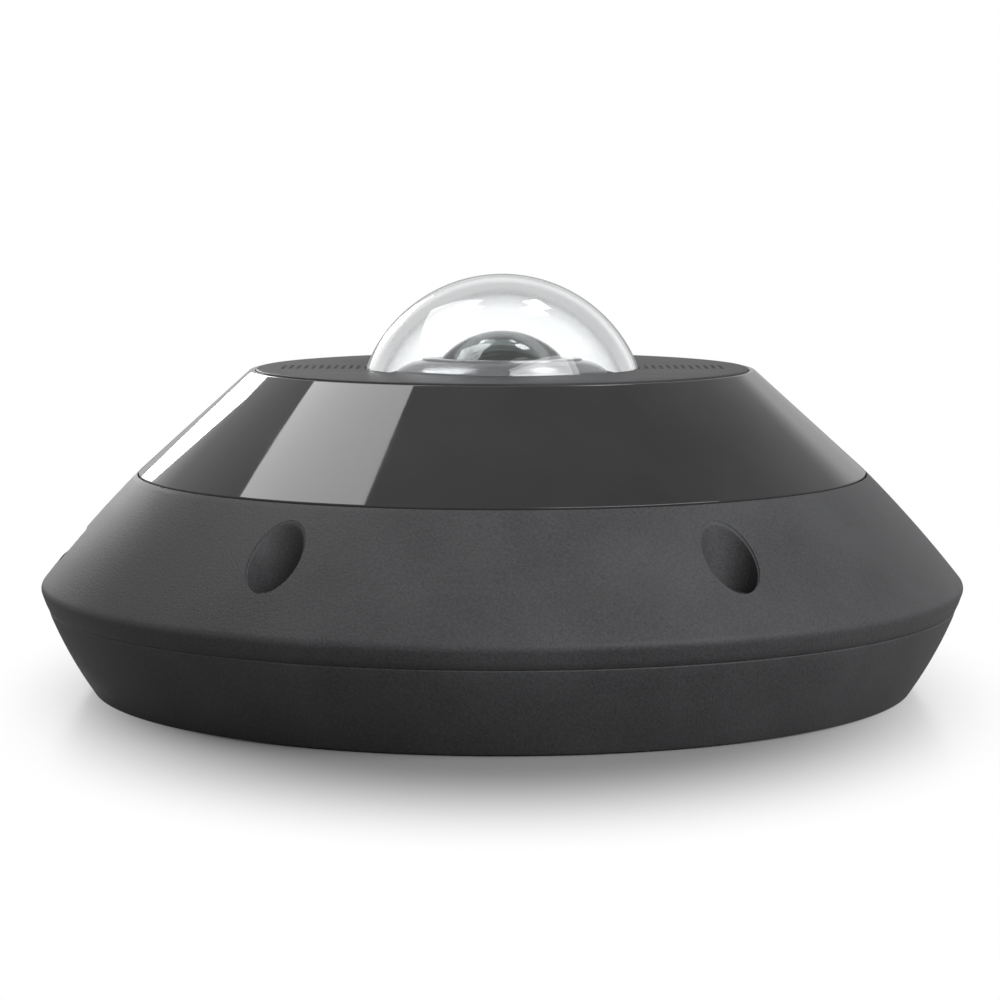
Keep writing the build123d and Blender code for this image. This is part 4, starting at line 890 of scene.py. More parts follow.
# %% Place the screws
well_circle = 72.2
well_angles = (60, 120, 240, 300)
corner_angles = (45, 135, 225, 315)
leg_angles = (0, 90, 180, 270)
mount_circle = 54.0
leg_circle = 53.0
board_screw_x = 34.0
board_screw_y = (-22.0, 14.0)
board_bottom = low("main_board")
board_corners = [(x, y, 0) for x in (-board_screw_x, board_screw_x) for y in board_screw_y]
well_spots = around(well_circle, well_angles)
mount_spots = around(mount_circle, corner_angles)
leg_spots = around(leg_circle, leg_angles)
pedestal_spot = (-3.0, -6.0)
print("screw spots:", len(well_spots), len(mount_spots), len(leg_spots), len(board_corners))

# %% [markdown]
# A boss beside the slanting flank would poke out through it. So each is first clipped to the room inside
# the skin, as a founder's pattern is, and then joined to the dish.

# %% Raise the bosses


def clipped(form, operation, other):
    """A form after it is joined with, cut by or clipped to another form."""
    obj = carve(make("form", form), [(operation, other)])
    points = [tuple(vertex.co / MM) for vertex in obj.data.vertices]
    faces = [list(polygon.vertices) for polygon in obj.data.polygons]
    mesh = obj.data
    bpy.data.objects.remove(obj)
    bpy.data.meshes.remove(mesh)
    return points, faces


boss_radius = 6.5
pad_radius = 6.0
post_radius = 3.0
pillar_radius = 4.6
skin = 0.4
root = floor_top - 0.5
above = parting + 1
lower_clip = turned([(0, floor_top - 1), (flank_reach(floor_top) - skin, floor_top - 1),
                     (flank_reach(parting) - skin, parting - 0.02), (0, parting - 0.02)])
boss_rods = copies(rod(boss_radius, (0, 0), root, above, 48), well_spots)
bosses = clipped(boss_rods, "INTERSECT", lower_clip)
pads = copies(rod(pad_radius, (0, 0), root, floor_top + 2, 48, 0.3), mount_spots)
board_posts = copies(rod(post_radius, (0, 0), root, board_bottom, 32, 0.15), board_corners)
pillars = copies(rod(pillar_radius, (0, 0), root, low("core_frame"), 40, 0.15), leg_spots)
pedestal = brick((17, 17), pedestal_spot, root, low("thermal_pad"), 1.0, 0.3)
print("the bosses have", len(bosses[1]), "faces")

# %% [markdown]
# The holes are rods again, only thinner and longer than what they go through. The floor also has a port for
# the cable's grommet, one for the pressure vent, and a shallow bare recess underneath.

# %% Drill the lower casting
cable_spot = (0.0, 36.0)
vent_spot = (24.0, 36.0)
thread_bottom = 4.7
cover_screw_hole = 2.05
bolt_hole = 2.25
board_thread = 1.3
leg_thread = 1.55
screw_holes = copies(rod(cover_screw_hole, (0, 0), 5.0, above, 28), well_spots)
bolt_holes = copies(rod(bolt_hole, (0, 0), -1, 8, 36), mount_spots)
board_threads = copies(rod(board_thread, (0, 0), thread_bottom, 12, 20), board_corners)
leg_threads = copies(rod(leg_thread, (0, 0), thread_bottom, 14, 24), leg_spots)
floor_holes = together(rod(8.0, cable_spot, -1, 4, 64), rod(4.0, vent_spot, -1, 4, 40))
bare_recess = walled(oblong(46, 22, 2, (0, -34)), -1, 0.4)
raised = (bosses, pads, board_posts, pillars, pedestal)
sunk = (screw_holes, bolt_holes, board_threads, leg_threads, floor_holes, bare_recess)
casting_steps = [("UNION", form) for form in raised] + [("DIFFERENCE", form) for form in sunk]
base_casting = carve(make("base_casting", turned(lower_outline)), casting_steps)
dress(base_casting, powder_coat, "base", "casting_paint", "base_housing")

# %% [markdown]
# ## The cover casting
#
# The cover carries everything that the picture shows of the matte cone: the rounded rim, four screw wells
# that break out through the slope, and a shallow bare recess on the left. A well is a round hole seen at a
# slant, so its mouth is an ellipse. The real one has a small rounded lip, which is made by flaring the
# cutter where it leaves the cone.

# %% Draw the cover's outline
window_seat = low("infrared_window")
ledge_top = low("window_gasket")
ledge_bottom = ledge_top - 2.5
tongue = (64.3, 66.7)
tongue_bottom = 14.0
seat_radius = 58.5
inner_rim = 78.19
tongue_meets_brow = 31.33
edge_room = 0.6
upper_flank = [(x, z, 0) for x, z, _ in flank if parting + parting_chamfer < z < rim_height - edge_room]
upper_brow = [(x, z, 0) for x, z, _ in brow if rim_height + edge_room < z < seam_height - edge_room]
upper_outline = rounded([
    (flank_reach(parting) - parting_chamfer, parting, 0),
    (flank_reach(parting + parting_chamfer), parting + parting_chamfer, 0),
    *upper_flank, (rim_radius, rim_height, rim_fillet), *upper_brow,
    (seam_radius + 0.15, seam_height - 0.17, 0.12),
    (seam_radius + 0.15, ledge_top, 0),
    (seat_radius, ledge_top, 0),
    (seat_radius, ledge_bottom, 0),
    (tongue[0], ledge_bottom, 0),
    (tongue[0], tongue_bottom, 0.15),
    (tongue[1], tongue_bottom, 0.15),
    (tongue[1], tongue_meets_brow, 0),
    (inner_rim, rim_height, 0),
    (flank_reach(parting) - casting_wall - 0.1, parting, 0.2),
], 8)
print("the cover's outline has", len(upper_outline), "points")

# %% [markdown]
# The wells are cut into a slope that swells a little, so their lips have to know how high the slope is at
# any distance from the axis. The curve gives the radius from the height, and halving a range forty times
# turns that round.

# %% Measure the slope


def brow_reach(height):
    """Radius of the matte cone at one height, along its swelling curve."""
    along = (height - rim_height) / (seam_height - rim_height)
    run = rim_radius - seam_radius
    chord = sqrt((seam_height - rim_height) ** 2 + run ** 2)
    swell = 4 * brow_bulge * along * (1 - along) * (seam_height - rim_height) / chord
    return rim_radius - run * along + swell


def height_on_brow(reach):
    """Height of the matte cone's surface at one radius."""
    lower, upper = rim_height, seam_height
    for _ in range(40):
        middle = (lower + upper) / 2
        if brow_reach(middle) > reach:
            lower = middle
        else:
            upper = middle
    return lower


print("halfway up the slope, its radius is", round(brow_reach((rim_height + seam_height) / 2), 2), "mm")

# %% [markdown]
# Each well is bored into a tower inside the cover, which carries the screw's seat. The towers are clipped
# under the skin as the lower bosses are. The drill flares where it leaves the slope, and that leaves a
# rounded lip.

# %% Bore the wells
well_radius = 4.5
shank_bore = 2.2
window_bore = 1.45
well_floor = low("screw_seals")
cover_clip = turned([(tongue[0] - 2, parting + 0.02), (flank_reach(parting) - skin, parting + 0.02),
                     (rim_radius - 1.3, rim_height - 1.2), (rim_radius - 1.3, rim_height + 0.6)]
                    + [(brow_reach(z) - skin, z) for z in (21, 24, 27, 30, 33, ledge_top - 0.02)]
                    + [(tongue[0] - 2, ledge_top - 0.02)])
well_towers = copies(rod(boss_radius, (0, 0), parting, ledge_top + 1, 56), well_spots)
well_bosses = clipped(well_towers, "INTERSECT", cover_clip)


def well_cutter(lip=0.35, steps=8, segments=96):
    """A drill for one well whose wall flares where it leaves the slope, to leave a rounded lip."""
    turns = [pi / 2 * k / steps for k in range(steps + 1)]
    rows = [(0.0, None)] + [(lip * (1 - cos(turn)), lip * (sin(turn) - 1)) for turn in turns]
    points = []
    for flare, drop in rows:
        for x, y in circle(well_radius + flare, (well_circle, 0), segments):
            points.append((x, y, well_floor if drop is None else height_on_brow(sqrt(x * x + y * y)) + drop))
    points += [(x, y, seam_height + 4) for x, y in circle(well_radius + lip, (well_circle, 0), segments)]
    last = len(points) - segments
    faces = [list(range(segments))[::-1], list(range(last, last + segments))]
    for low_row in range(0, last, segments):
        for k in range(segments):
            j = (k + 1) % segments
            faces.append([low_row + k, low_row + j, low_row + segments + j, low_row + segments + k])
    return points, faces


wells = copies(well_cutter(), [(0, 0, angle) for angle in well_angles])
screw_bores = copies(rod(shank_bore, (0, 0), parting - 1, well_floor + 1, 32), well_spots)
window_screw_circle = 61.3
window_screw_spots = around(window_screw_circle, range(0, 360, 60))
window_bores = copies(rod(window_bore, (0, 0), ledge_bottom - 1, ledge_top + 1, 24), window_screw_spots)
print("each well is", 2 * well_radius, "mm wide, and its floor lies", round(well_floor, 2), "mm up")

# %% [markdown]
# On the left the slope has a shallow bare recess, about twenty millimetres long. Its cutter is a band of
# the cone itself, moved in by its depth, so the recess has a floor that runs along the slope.

# %% Sink the recess and cut the cover


def flank_recess(half_turn=7.5, low_edge=22.6, high_edge=28.1, depth=0.41, steps=24):
    """Cutter for the shallow recess on the left: a band of the cone, sunk by its depth."""
    chord = sqrt((seam_height - rim_height) ** 2 + (rim_radius - seam_radius) ** 2)
    out = ((seam_height - rim_height) / chord, (rim_radius - seam_radius) / chord)
    section = []
    for height, lift in ((low_edge, -depth), (high_edge, -depth), (high_edge, depth), (low_edge, depth)):
        section.append((brow_reach(height) + lift * out[0], height + lift * out[1]))
    points = []
    for k in range(steps + 1):
        angle = radians(180 - half_turn + 2 * half_turn * k / steps)
        points += [(r * cos(angle), r * sin(angle), z) for r, z in section]
    faces = [[0, 1, 2, 3], [4 * steps + i for i in (3, 2, 1, 0)]]
    for k in range(steps):
        for i in range(4):
            j = (i + 1) % 4
            faces.append([4 * k + i, 4 * k + j, 4 * k + 4 + j, 4 * k + 4 + i])
    return points, faces


cover_steps = [("UNION", well_bosses)]
cover_steps += [("DIFFERENCE", form) for form in (wells, screw_bores, window_bores, flank_recess())]
cover_casting = carve(make("cover_casting", turned(upper_outline)), cover_steps, 40)
dress(cover_casting, powder_coat, "cover", "casting_paint", "cover_shell")

# %% [markdown]
# ## The glossy ring
#
# This is the piece that the eye goes to, and the reason for modelling in the first place: one moulding of
# smoked plastic, a cone outside and a flat deck inside, with the bubble's hole in the middle. Its
# reflections are straight lines along the cone, so the cone itself stays perfectly straight and only its
# two edges are rounded. Under the deck stand four bosses for the clamp, and the deck has ports for speaker,
# microphone and daylight.

# %% Draw the ring's outline
window_foot = 40.2
hole_ball = dome_radius + 0.15
face_radius = high("faceplate", 0)
ring_outline = rounded([
    (seat_radius, window_seat, 0),
    (seam_radius, window_seat, 0.15),
    (seam_radius, seam_height, 0.2),
    (shoulder_radius, shoulder_height, 0.45),
    (face_radius + 0.12, shoulder_height, 0.12),
    (face_radius + 0.12, deck_top, 0),
    (ball_reach(hole_ball, deck_top), deck_top, 0),
    (ball_reach(hole_ball, deck_bottom), deck_bottom, 0),
    (45.0, deck_bottom, 0.6),
    (seat_radius, window_foot, 0.8),
], 6)
print("the ring's outline has", len(ring_outline), "points")

# %% [markdown]
# Bosses with pilot holes hold the clamp under the deck, threads take the ring's own screws, two pockets
# take the meshes, and ports let sound through to the loudspeaker and the microphone.

# %% Drill the deck and turn the ring
clamp_circle = 31.8
clamp_boss = 2.6
pilot_hole = 1.3
clamp_bore_top = 53.9
window_thread_top = 39.0
clamp_bottom = low("dome_clamp")
clamp_spots = around(clamp_circle, corner_angles)
clamp_bosses = copies(rod(clamp_boss, (0, 0), flange_bottom + 0.2, deck_bottom + 0.5, 32, 0.1), clamp_spots)
clamp_bores = copies(rod(pilot_hole, (0, 0), flange_bottom - 1, clamp_bore_top, 20), clamp_spots)
window_threads = copies(rod(pilot_hole, (0, 0), window_seat - 1, window_thread_top, 20), window_screw_spots)
mesh_low = low("grille_meshes")
mesh_high = high("grille_meshes", 0)
mesh_inner = ball_reach(hole_ball, deck_top) + 0.8
mesh_depth = high("grille_meshes", 1) * 2
mesh_middle = (mesh_high + mesh_inner) / 2
mesh_room = oblong(mesh_high - mesh_inner + 0.04, mesh_depth + 0.04, 0.3, (mesh_middle, 0))
mesh_pockets = copies(walled(mesh_room, mesh_low, deck_top + 1), [(0, 0, 0), (0, 0, 180)])
speaker_x = (high("speaker", 0) + low("speaker", 0)) / 2
microphone_x = (high("microphone", 0) + low("microphone", 0)) / 2
guide_y = (high("light_guide", 1) + low("light_guide", 1)) / 2
ports = together(walled(oblong(7.2, 9.0, 0.8, (speaker_x, 0)), deck_bottom - 1, deck_top + 1),
                 rod(1.2, (microphone_x, 0), deck_bottom - 1, deck_top + 1, 28))
guide_slot = walled(oblong(3.5, 1.3, 0.64, (0, guide_y), 8), deck_bottom - 1, face_top + 1)
sunk = (clamp_bores, window_threads, mesh_pockets, ports, guide_slot)
ring_steps = [("UNION", clamp_bosses)] + [("DIFFERENCE", form) for form in sunk]
glossy_ring = carve(make("glossy_ring", turned(ring_outline)), ring_steps, 28)
dress(glossy_ring, smoked, "cover", "smoked_window", "infrared_window")

# %% [markdown]
# ## Faceplate, light window and mesh
#
# The faceplate is a thin disc pressed into the ring. Two fields of holes, for the speaker and the
# microphone, lie to the left and right of the bubble: seven rows in columns that step half a pitch sideways
# in turn, which packs them evenly. Each is a real hole, because seen from so low only the far wall of a
# hole shows.

# %% Turn the faceplate and drill its holes
face_edge = 0.35
hole_radius = 0.38
hole_pitch = 1.33
hole_rows = 7
first_column = ball_reach(hole_ball, deck_top) + 0.7
hole_columns = int((face_radius - 4.5 - first_column) / hole_pitch) + 1
face_outline = rounded([
    (ball_reach(hole_ball, deck_top), deck_top, 0),
    (face_radius, deck_top, 0),
    (face_radius, face_top, face_edge),
    (ball_reach(hole_ball, face_top), face_top, 0.12),
], 5)
hole_spots = []
for column in range(hole_columns):
    reach = first_column + hole_pitch * column
    shift = hole_pitch / 4 if column % 2 else -hole_pitch / 4
    for row in range(hole_rows):
        depth = hole_pitch * (row - (hole_rows - 1) / 2) + shift
        hole_spots += [(reach, depth, 0), (-reach, depth, 0)]
drills = copies(rod(hole_radius, (0, 0), deck_top - 0.5, face_top + 0.5, 16), hole_spots)
face_steps = [("DIFFERENCE", guide_slot), ("DIFFERENCE", drills)]
face_disc = carve(make("face_disc", turned(face_outline)), face_steps, 28)
dress(face_disc, faceplate_finish, "cover", "faceplate_plastic", "faceplate")
print(len(hole_spots), "holes in the faceplate")

# %% [markdown]
# At the faceplate's front edge lies a small clear window. It is the tip of a light guide, moulded in one
# piece: a head that fills the slot, a flange that keeps it from falling out, and a rod that leads light
# down inside.

# %% Mould the light window
guide_head = walled(oblong(3.4, 1.2, 0.59, (0, guide_y), 8), deck_bottom - 0.01, face_top - 0.02, 0.06)
guide_flange = walled(oblong(4.6, 2.4, 1.19, (0, guide_y), 8), deck_bottom - 0.8, deck_bottom, 0.1)
guide_rod = rod(0.9, (0, guide_y), low("light_guide"), deck_bottom - 0.5, 24, 0.1)
light_window = carve(make("light_window", guide_flange), [("UNION", guide_head), ("UNION", guide_rod)])
dress(light_window, guide_plastic, "cover", "clear_guide", "light_guide")

# %% [markdown]
# ## The bubble
#
# The clear bubble is a ball's cap with a real wall of three millimetres and a flange that the clamp holds.
# A single sheet would be quicker, but it would bend no light: the grey rim line, the thin second line
# inside it and the light foot of the bubble all come from the two faces of a real wall.

# %% Blow the bubble
inner_radius = dome_radius - dome_wall
flange_top = flange_bottom + 2.5
bubble_outline = [(flange_radius - 0.2, flange_bottom), (flange_radius, flange_bottom + 0.2),
                  (flange_radius, flange_top - 0.2), (flange_radius - 0.2, flange_top)]
bubble_outline += ball_arc(dome_radius, flange_top, dome_centre + dome_radius, 72)
bubble_outline += ball_arc(inner_radius, dome_centre + inner_radius, flange_bottom, 72)
bubble = make("bubble", turned(bubble_outline, 192), 24)
dress(bubble, bubble_plastic, "cover", "clear_bubble", "dome_bubble")

# %% [markdown]
# ## The lens
#
# A fisheye lens starts with a deep cap of dense glass. Under it lie a hollow, a second glass and a black
# barrel, and what makes a lens look like a lens is just that: bright curved reflections over a deep black
# hole with smaller glasses in it. So every glass is solid and curved on both faces, with the barrel's steps
# left visible below.

# %% Grind the front glass
lens_top = high("front_lens")
lens_foot = low("front_lens")
rim_reach = high("front_lens", 0)
retainer_top = high("lens_retainer")
retainer_reach = high("lens_retainer", 0)
barrel_top = retainer_top - 0.5
cap_radius = 10.9
cap_height = lens_top - retainer_top
cap_ball = (cap_radius ** 2 + cap_height ** 2) / (2 * cap_height)
cap_centre = lens_top - cap_ball
hollow_radius = 7.6
hollow_height = 4.6
hollow_ball = (hollow_radius ** 2 + hollow_height ** 2) / (2 * hollow_height)
hollow_centre = lens_foot + hollow_height - hollow_ball
glass_outline = [(hollow_radius, lens_foot), (rim_reach - 0.1, lens_foot), (rim_reach, lens_foot + 0.1),
                 (rim_reach, barrel_top - 0.1), (rim_reach - 0.1, barrel_top)]
glass_outline += ball_arc(cap_ball, barrel_top, lens_top, 48, cap_centre)
glass_outline += ball_arc(hollow_ball, lens_foot + hollow_height, lens_foot + 0.02, 40, hollow_centre)
front_glass = make("front_glass", turned(glass_outline, 160), 24)
dress(front_glass, lens_glass, "base", "lens_glass", "front_lens")

# %% [markdown]
# Round the glass lies a brushed metal cone with a slightly swelling brow, and a thin ring of the same metal
# holds the glass down. Both are turned, and the fans of light on them come from that: each ring is a tiny
# round mirror.

# %% Turn the brushed cone and its ring
shroud_reach = high("lens_shroud", 0)
shroud_foot = low("lens_shroud")
shroud_top = high("lens_shroud")
brow_drop = 1.75
barrel_reach = 13.4
bore = barrel_reach + 0.1
shroud_brow = bulged((shroud_reach, shroud_top - brow_drop), (retainer_reach + 0.1, shroud_top), 0.35, 14)
cone_outline = rounded([
    (bore, shroud_foot, 0), (shroud_reach, shroud_foot, 0.2), (shroud_reach, shroud_top - brow_drop, 0.12),
    *shroud_brow[1:-1], (retainer_reach + 0.1, shroud_top, 0.08), (retainer_reach + 0.1, barrel_top - 1.6, 0),
    (bore, barrel_top - 1.6, 0),
], 4)
brushed_collar = make("brushed_collar", turned(cone_outline, 216), 24)
dress(brushed_collar, brushed_cone, "base", "brushed_cone", "lens_shroud")

cap_rim = sqrt(cap_ball ** 2 - (barrel_top - cap_centre) ** 2) + 0.05
ring_edge = rounded([
    (cap_rim, barrel_top, 0), (barrel_reach + 0.05, barrel_top, 0),
    (barrel_reach + 0.05, barrel_top - 1.5, 0),
    (retainer_reach, barrel_top - 1.5, 0), (retainer_reach, retainer_top, 0.15),
    (cap_rim, retainer_top, 0.12),
], 4)
glass_ring = make("glass_ring", turned(ring_edge, 216), 24)
dress(glass_ring, brushed_cone, "base", "brushed_cone", "lens_retainer")

# %% [markdown]
# Between the cone and the bubble lies a matte black well. It swallows light that would otherwise bounce
# about inside the bubble and show as a ghost in every picture that the camera takes.

# %% Turn the black well
baffle_reach = high("light_baffle", 0)
baffle_wall = 1.4
baffle_floor = shroud_foot
baffle_outline = rounded([
    (bore, baffle_floor, 0), (bore, baffle_floor - baffle_wall, 0),
    (baffle_reach - baffle_wall, baffle_floor - baffle_wall, 0.3),
    (baffle_reach - baffle_wall, low("light_baffle"), 0),
    (baffle_reach, low("light_baffle"), 0), (baffle_reach, high("light_baffle"), 0.25),
    (baffle_reach - baffle_wall, high("light_baffle"), 0.25), (baffle_reach - baffle_wall, baffle_floor, 0.3),
], 4)
black_well = make("black_well", turned(baffle_outline, 192), 28)
dress(black_well, inner_finish["matte black"], "base", "black_plastic", "light_baffle")

# %% [markdown]
# ## Screws
#
# Every screw here is a turned piece with a socket pressed into its head. The head's edge is rounded, the
# socket is a real six-sided hole, and the shank carries rings for its thread, each a pitch from the next. A
# screw's numbers are the radius and height of its head, the radius and length of its shank, the radius of
# its socket and the pitch of its thread.

# %% Cut a screw


def screw(head, head_height, shank, length, key, pitch, up=1, segments=36):
    """A screw about the origin, its head above the seat, or below it where up is -1."""
    outline = [(0, head_height, 0), (head, head_height, head_height * 0.3), (head, 0, 0.05), (shank, 0, 0)]
    threads = int((length - 0.6) / pitch)
    depth = min(0.3 * pitch, 0.12 * shank)
    for k in range(threads):
        height = -0.3 - pitch * k
        outline += [(shank, height, 0), (shank - depth, height - pitch / 2, 0)]
    outline += [(shank - depth, -length + 0.2, 0), (shank * 0.6, -length, 0), (0, -length, 0)]
    body = turned(rounded(outline, 4), segments)
    socket = walled(circle(key, (0, 0), 6), head_height * 0.5, head_height + 1)
    points, faces = clipped(body, "DIFFERENCE", socket)
    return [(x, y, up * z) for x, y, z in points], faces


def seated(form, height, spots):
    """A screw repeated at its spots, with its seat at one height."""
    raised = [(x, y, z + height) for x, y, z in form[0]]
    return copies((raised, form[1]), spots)


cover_screw = screw(3.5, 4.0, 2.0, 14.1, 1.7, 0.7)
print("a cover screw has", len(cover_screw[1]), "faces")

# %% [markdown]
# A table lists each set of screws with its form, the height of its seat, its spots and the body that it
# rides on. The heads that hang below a board or a deck are the same kind of screw, turned over.

# %% Seat the screws
sensor_corners = [(x, y, 0) for x in (-15, 15) for y in (-16, 22)]
lamp_screw_circle = 46
lamp_corners = around(lamp_screw_circle, leg_angles)
board_screw = screw(2.4, 1.7, 1.25, 6.6, 0.9, 0.45)
leg_screw = screw(2.75, 2.5, 1.5, 10.5, 1.4, 0.5)
small_screw = screw(1.9, 1.4, 1.0, 5.6, 0.9, 0.4, -1)
lamp_screw = screw(1.9, 1.4, 1.0, 3.3, 0.9, 0.4)
ring_screw = screw(2.2, 1.6, 1.25, 6.3, 0.9, 0.45, -1)
clamp_screw = screw(2.2, 1.6, 1.25, 6.7, 0.9, 0.45, -1)
screw_rows = (
    ("well_screws", cover_screw, high("screw_seals"), well_spots, "cover", "cover_screws"),
    ("pan_screws", board_screw, high("main_board"), board_corners, "base", "board_screws"),
    ("leg_screws", leg_screw, low("core_frame") + 3.5, leg_spots, "base", "frame_screws"),
    ("sensor_board_screws", small_screw, low("sensor_board"), sensor_corners, "base", "sensor_screws"),
    ("lamp_board_screws", lamp_screw, high("led_board"), lamp_corners, "base", "led_board_screws"),
    ("ring_screws", ring_screw, ledge_bottom, window_screw_spots, "cover", "window_screws"),
    ("bubble_clamp_screws", clamp_screw, clamp_bottom, clamp_spots, "cover", "clamp_screws"),
)
for name, form, seat, spots, body, node in screw_rows:
    dress(make(name, seated(form, seat, spots)), screw_steel, body, "screw_steel", node)

# %% [markdown]
# ## What stands on the boards
#
# A real board is never bare: small ceramic capacitors and resistors crowd round the chips, each with a
# soldered metal cap at both ends. They could be drawn into the board's finish, but lifted off the board
# they catch light. Chance finds their places: each spot is kept only if the board lies right beside it and
# nothing else stands there.

# %% Find open spots on a board
spare_room = 1.1


def rectangle(width, depth, centre=(0, 0)):
    """The outline of a plain rectangle."""
    x, y = width / 2, depth / 2
    return [(centre[0] + a, centre[1] + b) for a, b in ((-x, -y), (x, -y), (x, y), (-x, y))]


def meets(x, y, height, facing, distance):
    """Whether something lies within a distance above a spot, or below it when facing is -1."""
    graph = bpy.context.evaluated_depsgraph_get()
    start = Vector((x, y, height)) * MM
    return bpy.context.scene.ray_cast(graph, start, (0, 0, facing), distance=distance * MM)[0]


def is_open(x, y, face, facing):
    """Whether a small part fits on a board's face at a spot."""
    near = face + 0.05 * facing
    around_spot = [(0, 0), (spare_room, 0), (-spare_room, 0), (0, spare_room), (0, -spare_room)]
    return all(meets(x + a, y + b, near, -facing, 0.1) and not meets(x + a, y + b, near, facing, 1.5)
               for a, b in around_spot)


print("a small part needs", spare_room, "mm of bare board on every side")

# %% [markdown]
# The chance is seeded, so each board gets the same parts every time. About half of them lie across, as a
# board's designer turns them to fit.

# %% Scatter small parts over the boards
part_body = 1.0
part_width = 0.8
part_height = 0.6
part_cap = 0.28
tries_per_part = 60
square_of_gap = 5.0


def scatter(name, face, facing, reach, count, seed):
    """Small ceramic parts with metal caps at seeded places on one face of a board."""
    chance = Random(seed)
    spots = []
    for _ in range(count * tries_per_part):
        x = chance.uniform(-reach, reach)
        y = chance.uniform(-reach, reach)
        clear_of_others = all((x - a) ** 2 + (y - b) ** 2 > square_of_gap for a, b, _ in spots)
        if len(spots) < count and clear_of_others and is_open(x, y, face, facing):
            spots.append((x, y, chance.choice((0, 90))))
    low_face, high_face = sorted((face, face + part_height * facing))
    bodies = walled(rectangle(part_body, part_width), low_face, high_face)
    cap_place = (part_body + part_cap) / 2
    cap_outlines = [rectangle(part_cap, part_width, (side * cap_place, 0)) for side in (-1, 1)]
    caps = together(*[walled(outline, low_face, high_face) for outline in cap_outlines])
    parts = make(name + "_parts", copies(bodies, spots))
    dress(parts, inner_finish["capacitor ceramic"], "base", "chip_plastic")
    dress(make(name + "_part_caps", copies(caps, spots)), tinned_steel, "base", "plated_steel")
    print(name, "carries", len(spots), "small parts")


scatter("main_board", high("main_board"), facing=1, reach=45, count=84, seed=3)
scatter("main_board_back", low("main_board"), facing=-1, reach=45, count=30, seed=5)
scatter("lamp_board", high("led_board"), facing=1, reach=57, count=40, seed=8)
scatter("sensor_board", high("sensor_board"), facing=1, reach=24, count=14, seed=9)

# %% [markdown]
# Memory chips stand on rows of bent legs. Each leg is a short riser at the chip's side and a flat foot on
# the board.

# %% Bend the chips' legs
board_face = high("main_board")
chip_width = 10.0
chip_depth = high("memory_chips", 1) - low("memory_chips", 1)
chip_pitch = (high("memory_chips", 0) - low("memory_chips", 0) - chip_width) / 2
chip_row = (high("memory_chips", 1) + low("memory_chips", 1)) / 2
legs_in_a_row = 9
leg_pitch = 1.0
leg = together(
    walled(rectangle(0.4, 0.22, (0, 0.11)), board_face + 0.2, board_face + 0.75),
    walled(rectangle(0.4, 0.9, (0, 0.45)), board_face, board_face + 0.2),
)
chip_leg_spots = []
for chip in (-1, 0, 1):
    for k in range(legs_in_a_row):
        along = chip * chip_pitch + (k - (legs_in_a_row - 1) / 2) * leg_pitch
        chip_leg_spots.append((along, chip_row + chip_depth / 2, 0))
        chip_leg_spots.append((along, chip_row - chip_depth / 2, 180))
dress(make("chip_legs", copies(leg, chip_leg_spots)), tinned_steel, "base", "plated_steel")

# %% [markdown]
# ## Sockets, terminals and capacitors
#
# A network plug is read by eight gilded springs under the jack's roof, held in a black comb. They show as
# soon as one looks into the jack, so each spring is a thin strip with its tip bent up.

# %% Fill the jack
jack_centre = (low("network_jack", 0) + high("network_jack", 0)) / 2
jack_roof = 21.2
jack_back = 12.5
contact_pitch = 1.02
spring_low = jack_roof - 1.9
contacts = []
for k in range(8):
    across = jack_centre + (k - 3.5) * contact_pitch
    contacts.append(brick((0.42, 6.6), (across, jack_back + 4.3), spring_low, jack_roof - 1.6, 0.05, 0.05))
    contacts.append(brick((0.42, 0.4), (across, jack_back + 7.4), spring_low, jack_roof - 0.9, 0.05, 0.05))
dress(make("jack_contacts", together(*contacts)), inner_finish["gold contact"], "base", "plated_steel")
comb = brick((9.6, 1.6), (jack_centre, jack_back + 0.9), jack_roof - 4.0, jack_roof - 0.1)
dress(make("jack_comb", comb), inner_finish["matte black"], "base", "black_plastic")

# %% [markdown]
# The terminal block holds a slotted screw over each wire. No two screws are ever turned alike, so each head
# is given its own angle.

# %% Put the screws in the terminals
terminal_pitch = 3.0
terminal_centre = (low("terminal_block", 0) + high("terminal_block", 0)) / 2
terminal_top = high("terminal_block")
terminal_row = low("terminal_block", 1) + 3.2
screw_head = rod(1.05, (0, 0), terminal_top - 0.1, terminal_top + 0.25, 24, 0.08)
driver_slot = walled(rectangle(2.4, 0.36), terminal_top + 0.02, terminal_top + 0.4)
terminal_spots = [(terminal_centre + (k - 2.5) * terminal_pitch, terminal_row, 20 * k) for k in range(6)]
terminal_screws = make("terminal_screws", copies(screw_head, terminal_spots))
carve(terminal_screws, [("DIFFERENCE", copies(driver_slot, terminal_spots))])
dress(terminal_screws, tinned_steel, "base", "plated_steel")

# %% [markdown]
# Each capacitor ends in a bare metal disc, scored with a cross so that it can vent instead of bursting.

# %% Cap the capacitors
can_radius = 3.1
can_top = high("filter_capacitors")
can_left = low("filter_capacitors", 0) + can_radius
can_right = high("filter_capacitors", 0) - can_radius
can_front = low("filter_capacitors", 1) + can_radius
can_back = high("filter_capacitors", 1) - can_radius
can_spots = [(can_left, can_back, 0), (can_left, can_front, 45), (can_right, can_back, 20)]
vent_disc = rod(can_radius - 0.5, (0, 0), can_top - 0.1, can_top + 0.12, 32, 0.06)
vent_bar = walled(rectangle(4.0, 0.22), can_top + 0.05, can_top + 0.3)
vent_bar_crossed = copies(vent_bar, [(0, 0, 90)])
can_tops = make("capacitor_tops", copies(vent_disc, can_spots))
carve(can_tops, [("DIFFERENCE", copies(bar, can_spots)) for bar in (vent_bar, vent_bar_crossed)])
dress(can_tops, tinned_steel, "base", "plated_steel")

# %% [markdown]
# ## Memory card
#
# The card shows its contacts only when it is drawn out: eight gilded pads under its inner end, and a ridge
# on top of its outer end for a fingernail.

